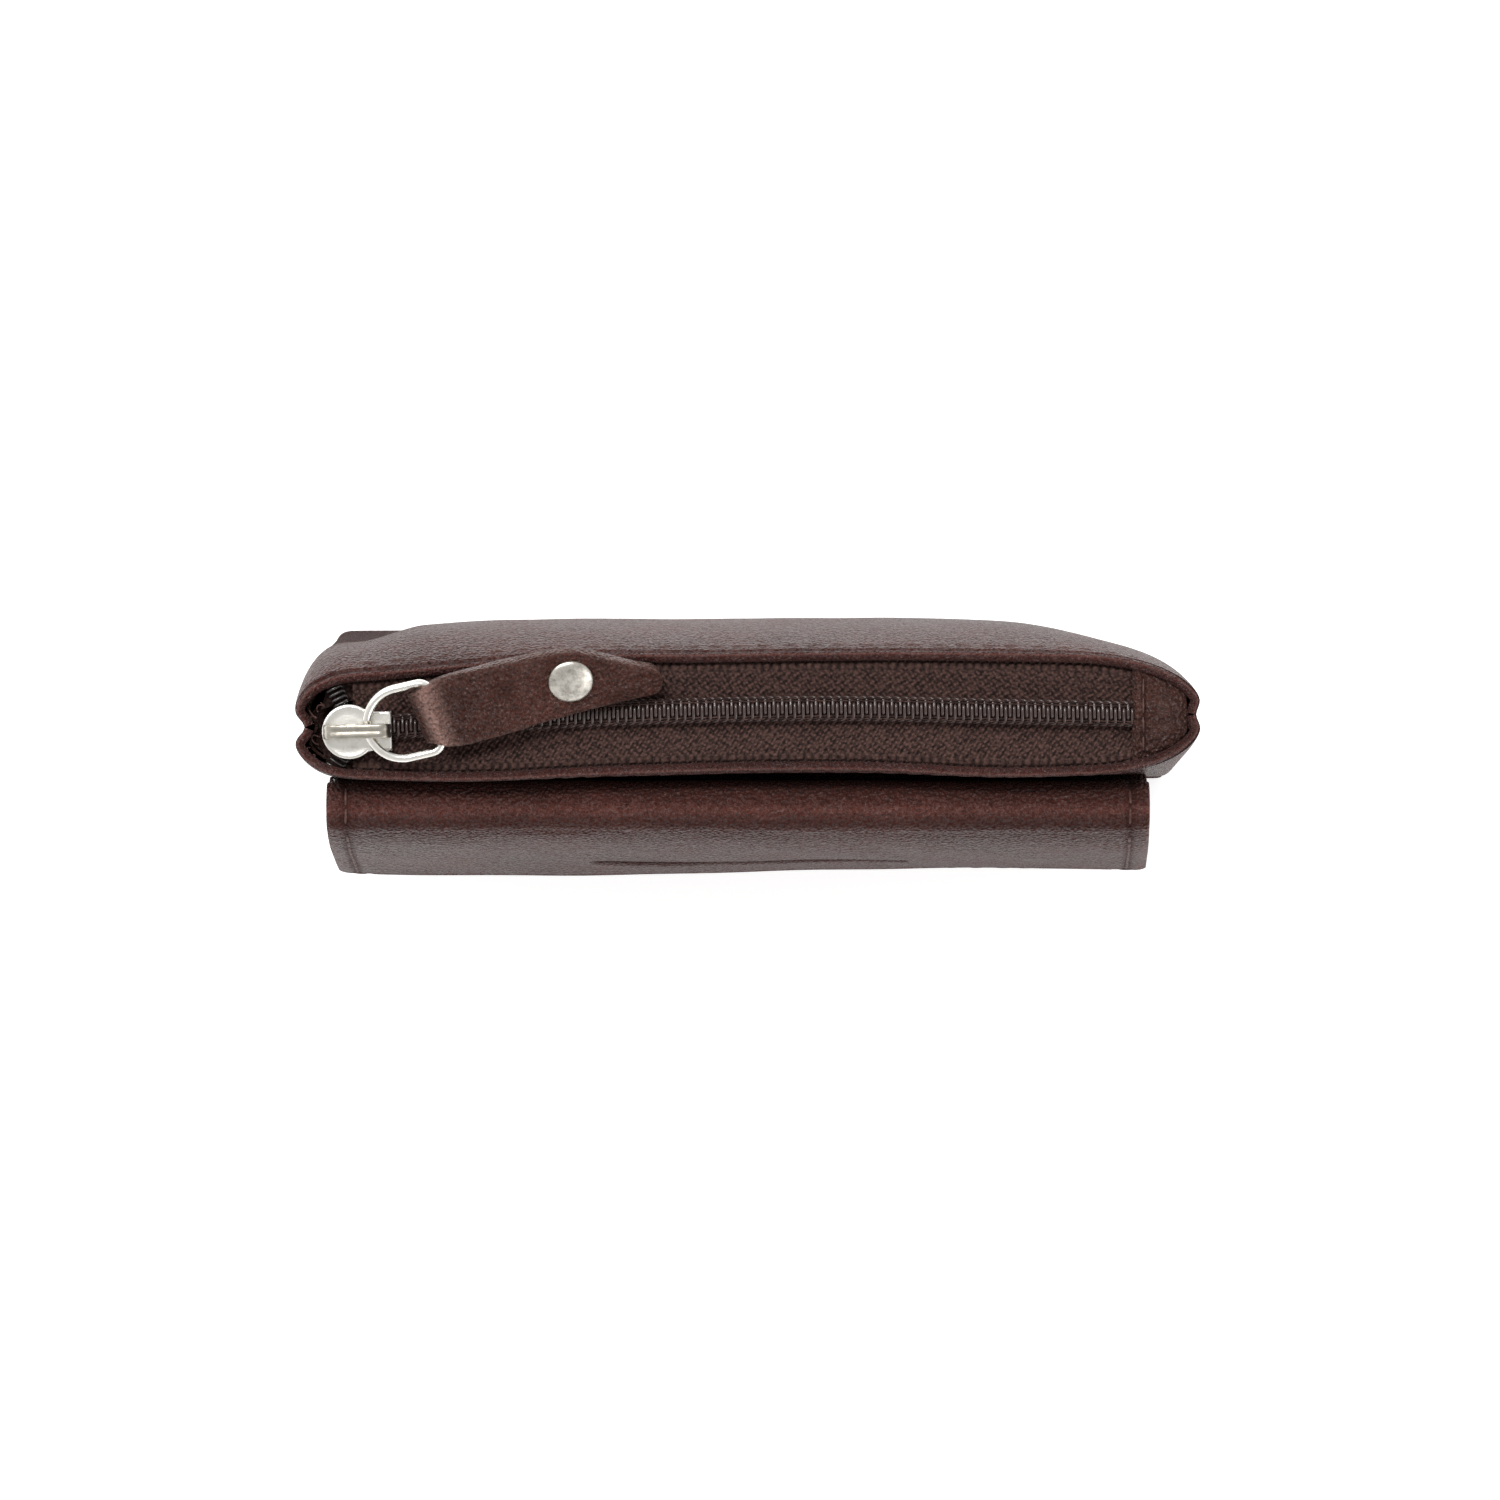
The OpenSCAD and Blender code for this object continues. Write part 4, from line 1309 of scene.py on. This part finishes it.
# How far the free edge waves in and out along X.
edge_wave = curve_through(
    [(-58, 0.1), (-35, -0.05), (-15, 0.25), (10, 0.6), (38, 1.0), (50, 0.7), (55, 0.55)]
)


def fold_profile(angle, inset=0.0):
    """Y and Z on the fold's outer face, moved in by inset. The angle is 0 behind and ARC_END in front."""
    r = FOLD_R - inset
    return FOLD_Y + r * np.cos(angle), FOLD_Z + r * np.sin(angle)


def flap_profile(down, inset=0.0):
    """A point of the flap's front face, at a distance down from the fold."""
    share = down / FLAP_DOWN
    out = EASE_ANGLE * EASE_LENGTH * (1 - math.exp(-down / EASE_LENGTH)) * (1 - share) - inset
    y = ARC_Y - down * math.sin(CHORD) - out * math.cos(CHORD)
    z = ARC_Z - down * math.cos(CHORD) + out * math.sin(CHORD)
    return y, z


def side_round(x):
    """How far the leather's face turns down towards its side edges."""
    edge = np.minimum(x - WALLET_LEFT, WALLET_RIGHT - x)
    return 0.35 * np.exp(-np.maximum(edge, 0) / 0.5)


def stitch_dent(x):
    """The groove that the side stitches pull into the leather."""
    left = np.exp(-(((x - WALLET_LEFT - STITCH_IN) / 0.55) ** 2))
    right = np.exp(-(((WALLET_RIGHT - STITCH_IN - x) / 0.55) ** 2))
    return 0.22 * (left + right)


def flap_columns():
    """Places along X, close together at the rounded edges and the side stitches."""
    edge = [0, 0.12, 0.35, 0.7, 1.2, 1.8, 2.3, STITCH_IN, 3.1, 3.6]
    left = [WALLET_LEFT + e for e in edge]
    right = [WALLET_RIGHT - e for e in reversed(edge)]
    return np.array(left + list(np.linspace(left[-1], right[0], 150))[1:-1] + right)


def fold_rows(angles, x, inset):
    """Rows round the fold. Only the outer face, with no inset, has relief."""
    rows = []
    for a in angles:
        y, z = fold_profile(a, inset)
        relief = 0.10 * ripple(x, a * 6, 6.2) - side_round(x) - stitch_dent(x) if inset == 0 else 0 * x
        rows.append(np.stack([x, y + relief * math.cos(a), z + relief * math.sin(a)], axis=1))
    return rows


FOLD_MIDDLE = ARC_END / 2


def fold_back_skin():
    """From behind the front lip up to the middle of the fold."""
    x = flap_columns()
    low = 76.0
    outer, inner = [], []
    wall = panel_level(low, -1)
    wall = wall[np.argsort(wall[:, 0])]
    sewn = np.interp(x, wall[:, 0], wall[:, 1]) + 0.2
    for z in np.linspace(low, FOLD_Z, WALL_ROWS, endpoint=False):
        # The lowest part is sewn to the pocket's wall; above it the leather stands free.
        reach = np.maximum(sewn - FOLD_Y - FOLD_R, 0) * (1 - smooth((z - low - 1.5) / 2.5))
        for rows, inset in ((outer, 0.0), (inner, FLAP_T)):
            y = FOLD_Y + FOLD_R - inset + (reach if inset == 0 else 0)
            rows.append(np.stack([x, y - (side_round(x) if inset == 0 else 0 * x), x * 0 + z], axis=1))
    angles = np.linspace(0, FOLD_MIDDLE, ARC_ROWS)
    outer += fold_rows(angles, x, 0.0)
    inner += fold_rows(angles, x, FLAP_T)
    return np.array(outer), np.array(inner)


def flap_front_rows():
    """From the middle of the fold down to the free edge."""
    x = flap_columns()
    angles = np.linspace(FOLD_MIDDLE, ARC_END, ARC_ROWS)
    outer = fold_rows(angles, x, 0.0)
    inner = fold_rows(angles, x, FLAP_T)
    # Painted shade in the side stitch grooves round the fold.
    shades = [2.2 * stitch_dent(x) for _ in angles]
    length = FLAP_DOWN - 0.6
    downs = np.concatenate([np.linspace(0.8, length - 6, 34), length - 6 + 6 * np.linspace(0.06, 1, 26)])
    for down in downs:
        # The corners are rounded by drawing the ends of each low row inwards.
        above = length - down
        cut = FLAP_CORNER - math.sqrt(max(FLAP_CORNER**2 - max(FLAP_CORNER - above, 0) ** 2, 0))
        squeeze = (x - (WALLET_LEFT + WALLET_RIGHT) / 2) / ((WALLET_RIGHT - WALLET_LEFT) / 2)
        xs = x - squeeze * cut + 1.3 * np.clip(squeeze, 0, None) * down / FLAP_DOWN
        tilt = edge_wave(xs) * (down / FLAP_DOWN) ** 2
        rule = pressed_rule(xs, above)
        # Painted shade in the pressed rule and the stitch grooves, and painted shade that deepens towards the
        # free edge.
        shades.append(np.maximum(rule, 2.2 * stitch_dent(x)) + 0.2 * down / FLAP_DOWN)
        hem = 0.2 * math.exp(-(((above - 1.75) / 0.5) ** 2))
        lip = 0.55 * math.exp(-above / 0.45)
        relief = 0.14 * ripple(xs, down * 1.6, 6.2) - side_round(x) - stitch_dent(x) - 0.5 * rule - hem - lip
        inner_lift = 0.5 * math.exp(-above / 0.45) + 0 * xs
        for rows, inset, lift in ((outer, 0.0, relief), (inner, FLAP_T, inner_lift)):
            y, z = flap_profile(down, inset)
            rows.append(np.stack([xs, y + tilt + FLAP_OUT[1] * lift, z + FLAP_OUT[2] * lift], axis=1))
    return np.array(outer), np.array(inner), np.array(shades)


RULE_HALF = 22.5
RULE_ABOVE = 15.0


def pressed_rule(x, above):
    """A plain line pressed into the flap near its free edge."""
    ends = smooth((RULE_HALF - np.abs(x)) / 1.2)
    sway = 0.35 * np.sin(x * 0.16)
    return ends * np.exp(-(((above - RULE_ABOVE - 3 * sway) / 1.4) ** 2))


def closed_sheet(name, outer, inner, material, inner_material, flip=False, open_rows=()):
    """A sheet with an outer and an inner face, and edges all round but for the open rows."""
    rows, cols = outer.shape[:2]
    points = np.concatenate([outer.reshape(-1, 3), inner.reshape(-1, 3)])
    other = rows * cols
    front = grid_faces(rows, cols)
    back = [tuple(other + i for i in reversed(f)) for f in front]
    rim = []
    for i in range(rows - 1):
        for j, flipped in ((0, False), (cols - 1, True)):
            a, b = i * cols + j, (i + 1) * cols + j
            quad = (a, b, other + b, other + a)
            rim.append(quad[::-1] if flipped else quad)
    for j in range(cols - 1):
        for i, flipped in ((0, True), (rows - 1, False)):
            if i in open_rows:
                continue
            a, b = i * cols + j, i * cols + j + 1
            quad = (a, b, other + b, other + a)
            rim.append(quad[::-1] if flipped else quad)
    faces = front + back + rim
    if flip:
        faces = [tuple(reversed(f)) for f in faces]
    piece = make(name, points, faces, material)
    piece.data.materials.append(inner_material)
    for index in range(len(front), len(front) + len(back)):
        piece.data.polygons[index].material_index = 1
    return piece


def flap_wear_and_painted_light(piece, outer, inner, shades, angles):
    """Where the flap is rubbed light, where a highlight is painted on the fold's crest, and where shade is
    painted. angles are the fold's, at its first rows.
    """
    x = outer[..., 0]
    edge = np.minimum(x - WALLET_LEFT, WALLET_RIGHT - x)
    wear_and_highlight = 0.4 * np.exp(-np.maximum(edge, 0) / 0.4)
    # The fold is rubbed along its crest and has a painted highlight there; painted shade lies where it turns
    # down to hang and fades down the first rows of the front.
    turn = np.full(len(outer), ARC_END)
    turn[: len(angles)] = angles
    wear_and_highlight = wear_and_highlight + 0.42 * np.exp(-(((turn - CREST) / 0.2) ** 2))[:, None]
    low = 0.45 * np.exp(-(((turn - CREST - 0.6) / 0.3) ** 2))
    low[len(angles) :] += 0.2 * np.exp(-np.arange(len(outer) - len(angles)) / 6.0)
    shades = shades + low[:, None]
    attribute(piece, "wear_and_highlight", np.concatenate([wear_and_highlight.ravel(), 0 * inner[..., 0].ravel()]))
    attribute(piece, "shade", np.concatenate([shades.ravel(), 0 * shades.ravel()]))


CREST = math.radians(96)
outer, inner = fold_back_skin()
fold_back = closed_sheet("flap_fold_back_skin", outer, inner, LEATHER, LINING, open_rows=(len(outer) - 1,))
back_angles = np.concatenate([np.zeros(WALL_ROWS), np.linspace(0, FOLD_MIDDLE, ARC_ROWS)])
# Painted shade in the side stitch grooves.
flap_wear_and_painted_light(fold_back, outer, inner, 2.2 * stitch_dent(outer[..., 0]), back_angles)


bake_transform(fold_back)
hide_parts("flap_fold_leather", "flap_fold_lining")

flap_outer, flap_inner, flap_shade = flap_front_rows()
flap_front = closed_sheet("flap_front_skin", flap_outer, flap_inner, LEATHER, LINING, open_rows=(0,))
flap_wear_and_painted_light(flap_front, flap_outer, flap_inner, flap_shade, np.linspace(FOLD_MIDDLE, ARC_END, ARC_ROWS))
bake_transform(flap_front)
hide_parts("flap_leather", "flap_lining")


def flap_threads():
    """Stitches down both sides of the flap and along its free edge. Those on the fold ride with it."""
    rows = flap_outer[ARC_ROWS + 1 :]
    for x, word in ((WALLET_LEFT + STITCH_IN, "left"), (WALLET_RIGHT - STITCH_IN, "right")):
        line = rows[:-16, np.argmin(np.abs(flap_columns() - x))]
        ups = np.tile(FLAP_OUT, (len(line), 1))
        seam_stitches(f"flap_threads_{word}", line, ups, STITCH_PITCH, STITCH_LEN, [], "flap")
    low = rows[-14]
    keep = (low[:, 0] > WALLET_LEFT + 4) & (low[:, 0] < WALLET_RIGHT - 4)
    ups = np.tile(FLAP_OUT, (int(keep.sum()), 1))
    sunk = -0.06
    seam_stitches(
        "flap_threads_edge", low[keep], ups, STITCH_PITCH, STITCH_LEN, ["flap_stitching"], "flap", lift=sunk
    )


flap_threads()


def fold_threads():
    """The side stitches where they cross the fold, two on each half."""
    for x, word in ((WALLET_LEFT + STITCH_IN, "left"), (WALLET_RIGHT - STITCH_IN, "right")):
        angles = np.linspace(math.radians(48), math.radians(128), 30)
        y, z = fold_profile(angles, 0.1)
        line = np.stack([np.full_like(y, x), y, z], axis=1)
        ups = np.stack([0 * y, np.cos(angles), np.sin(angles)], axis=1)
        seam_stitches(f"fold_threads_{word}", line, ups, 2.9, 2.1, [], "flap_fold")


fold_threads()


# ------------------------------------------------------------ wallet section


def crowded(t):
    """Moves evenly spread places from 0 to 1 closer to both ends."""
    return 0.35 * (0.5 - 0.5 * np.cos(math.pi * t)) + 0.65 * t


def leather_plate(node, corner, material, seed):
    """An upright leather plate in X and Z with rounded edges, a slight puff and rounded top corners."""
    low, high = span(node)
    t = high[1] - low[1]
    middle_y = (low[1] + high[1]) / 2
    width, height = high[0] - low[0], high[2] - low[2]
    cols, rows = 90, 50
    u = crowded(np.linspace(0, 1, cols)[None, :])
    w = crowded(np.linspace(0, 1, rows)[:, None])
    z = low[2] + height * w
    above = high[2] - z
    cut = corner - np.sqrt(np.maximum(corner**2 - np.maximum(corner - above, 0) ** 2, 0))
    x = low[0] + cut + (width - 2 * cut) * u
    edge = np.minimum(np.minimum(x - low[0] - cut, high[0] - cut - x), np.minimum(above, z - low[2]))
    thin = 0.5 * t * np.exp(-np.maximum(edge, 0) / 0.35) * 0.8
    faces_y = []
    for sign in (-1, 1):
        wave = 0.12 * ripple(x, z, seed) * smooth(edge / 6) if sign < 0 else 0 * x
        faces_y.append(middle_y + sign * (t / 2 - thin) + sign * np.clip(wave, -0.03, 0.06))
    grids = [np.stack(np.broadcast_arrays(x, y, z), axis=-1).astype(float) for y in faces_y]
    piece = closed_sheet(f"{node}_skin", grids[0], grids[1], material, material)
    wear_and_highlight = 0.5 * np.exp(-np.maximum(edge, 0) / 0.5)
    attribute(piece, "wear_and_highlight", np.concatenate([wear_and_highlight.ravel(), wear_and_highlight.ravel()]))
    attribute(piece, "shade", np.zeros(2 * wear_and_highlight.size))
    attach(piece, "pouch")
    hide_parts(node)


leather_plate("wallet_back_panel", 0.6, LEATHER, 0)
leather_plate("wallet_back_lining", 0.6, LINING, 1.1)
for index, node in enumerate(("card_base_panel", "card_slot_upper", "card_slot_middle", "card_slot_lower")):
    leather_plate(node, 3.0, LEATHER, (index + 2) * 1.1)
leather_plate("wallet_front_panel", 4.0, LEATHER, 6 * 1.1)


def wallet_floor():
    """The wallet section's flat base, with rounded edges and corners."""
    low, high = span("wallet_base")
    high[1] += 0.2
    r = 1.2
    rows = []
    for z, inset in ((0.0, 0.7), (0.15, 0.2), (0.6, 0.0), (1.05, 0.2), (1.2, 0.6)):
        loop = []
        corners = ((high[0], high[1]), (low[0], high[1]), (low[0], low[1]), (high[0], low[1]))
        for k, (cx, cy) in enumerate(corners):
            mx = cx - math.copysign(r, cx - (low[0] + high[0]) / 2)
            my = cy - math.copysign(r, cy - (low[1] + high[1]) / 2)
            for a in np.linspace(k * math.pi / 2, (k + 1) * math.pi / 2, 7):
                loop.append((mx + (r - inset) * math.cos(a), my + (r - inset) * math.sin(a), z))
        rows.append(loop)
    grid = np.array(rows)
    parts = Parts()
    parts.add_ring_grid(grid)
    count = grid.shape[1]
    parts.faces.append(tuple(reversed(range(count))))
    parts.faces.append(tuple((len(rows) - 1) * count + j for j in range(count)))
    piece = parts.piece("wallet_base_skin", LEATHER, "pouch")
    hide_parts("wallet_base")


wallet_floor()


def gusset(name, node, side):
    """A side gusset folded inwards, soft at its three creases."""
    low, high = span(node)
    edge_x = low[0] if side < 0 else high[0]
    near, far = high[1], low[1]
    t = np.linspace(0, 1, 31)
    y = near + (far - near) * t
    depth = 4.6 * (1 - np.abs(2 * t - 1) ** 1.5)
    z = np.linspace(low[2], high[2], 24)[:, None]
    breathe = 1 + 0.04 * np.sin(z * 0.21)
    x = edge_x - side * depth[None, :] * breathe
    outer = np.stack(np.broadcast_arrays(x, y[None, :], z), axis=-1).astype(float)
    inner = outer.copy()
    inner[..., 0] -= side * 0.6
    piece = closed_sheet(name, outer, inner, LEATHER, LINING, flip=side > 0)
    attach(piece, "pouch")
    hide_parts(node)


gusset("bill_gusset_left_skin", "bill_gusset_left", -1)
gusset("bill_gusset_right_skin", "bill_gusset_right", 1)


def wallet_threads():
    """Stitches down both sides of the wallet's front panel."""
    front = span("wallet_front_panel")[0][1]
    left, right = WALLET_LEFT + STITCH_IN, WALLET_RIGHT - STITCH_IN
    for word, x, nodes in (("left", left, []), ("right", right, ["wallet_stitching"])):
        line = np.array([(x, front + 0.02, z) for z in np.linspace(3, 52, 60)])
        ups = np.tile([0, -1.0, 0], (len(line), 1))
        seam_stitches(f"wallet_threads_{word}", line, ups, STITCH_PITCH, STITCH_LEN, nodes)


wallet_threads()

for node in ("wallet_magnet", "flap_magnet"):
    kept = frame["nodes"][node]
    for index in range(len(kept.material_slots)):
        kept.material_slots[index].material = MAGNET
    if not kept.material_slots:
        kept.data.materials.append(MAGNET)

# ------------------------------------------------------------------- the end

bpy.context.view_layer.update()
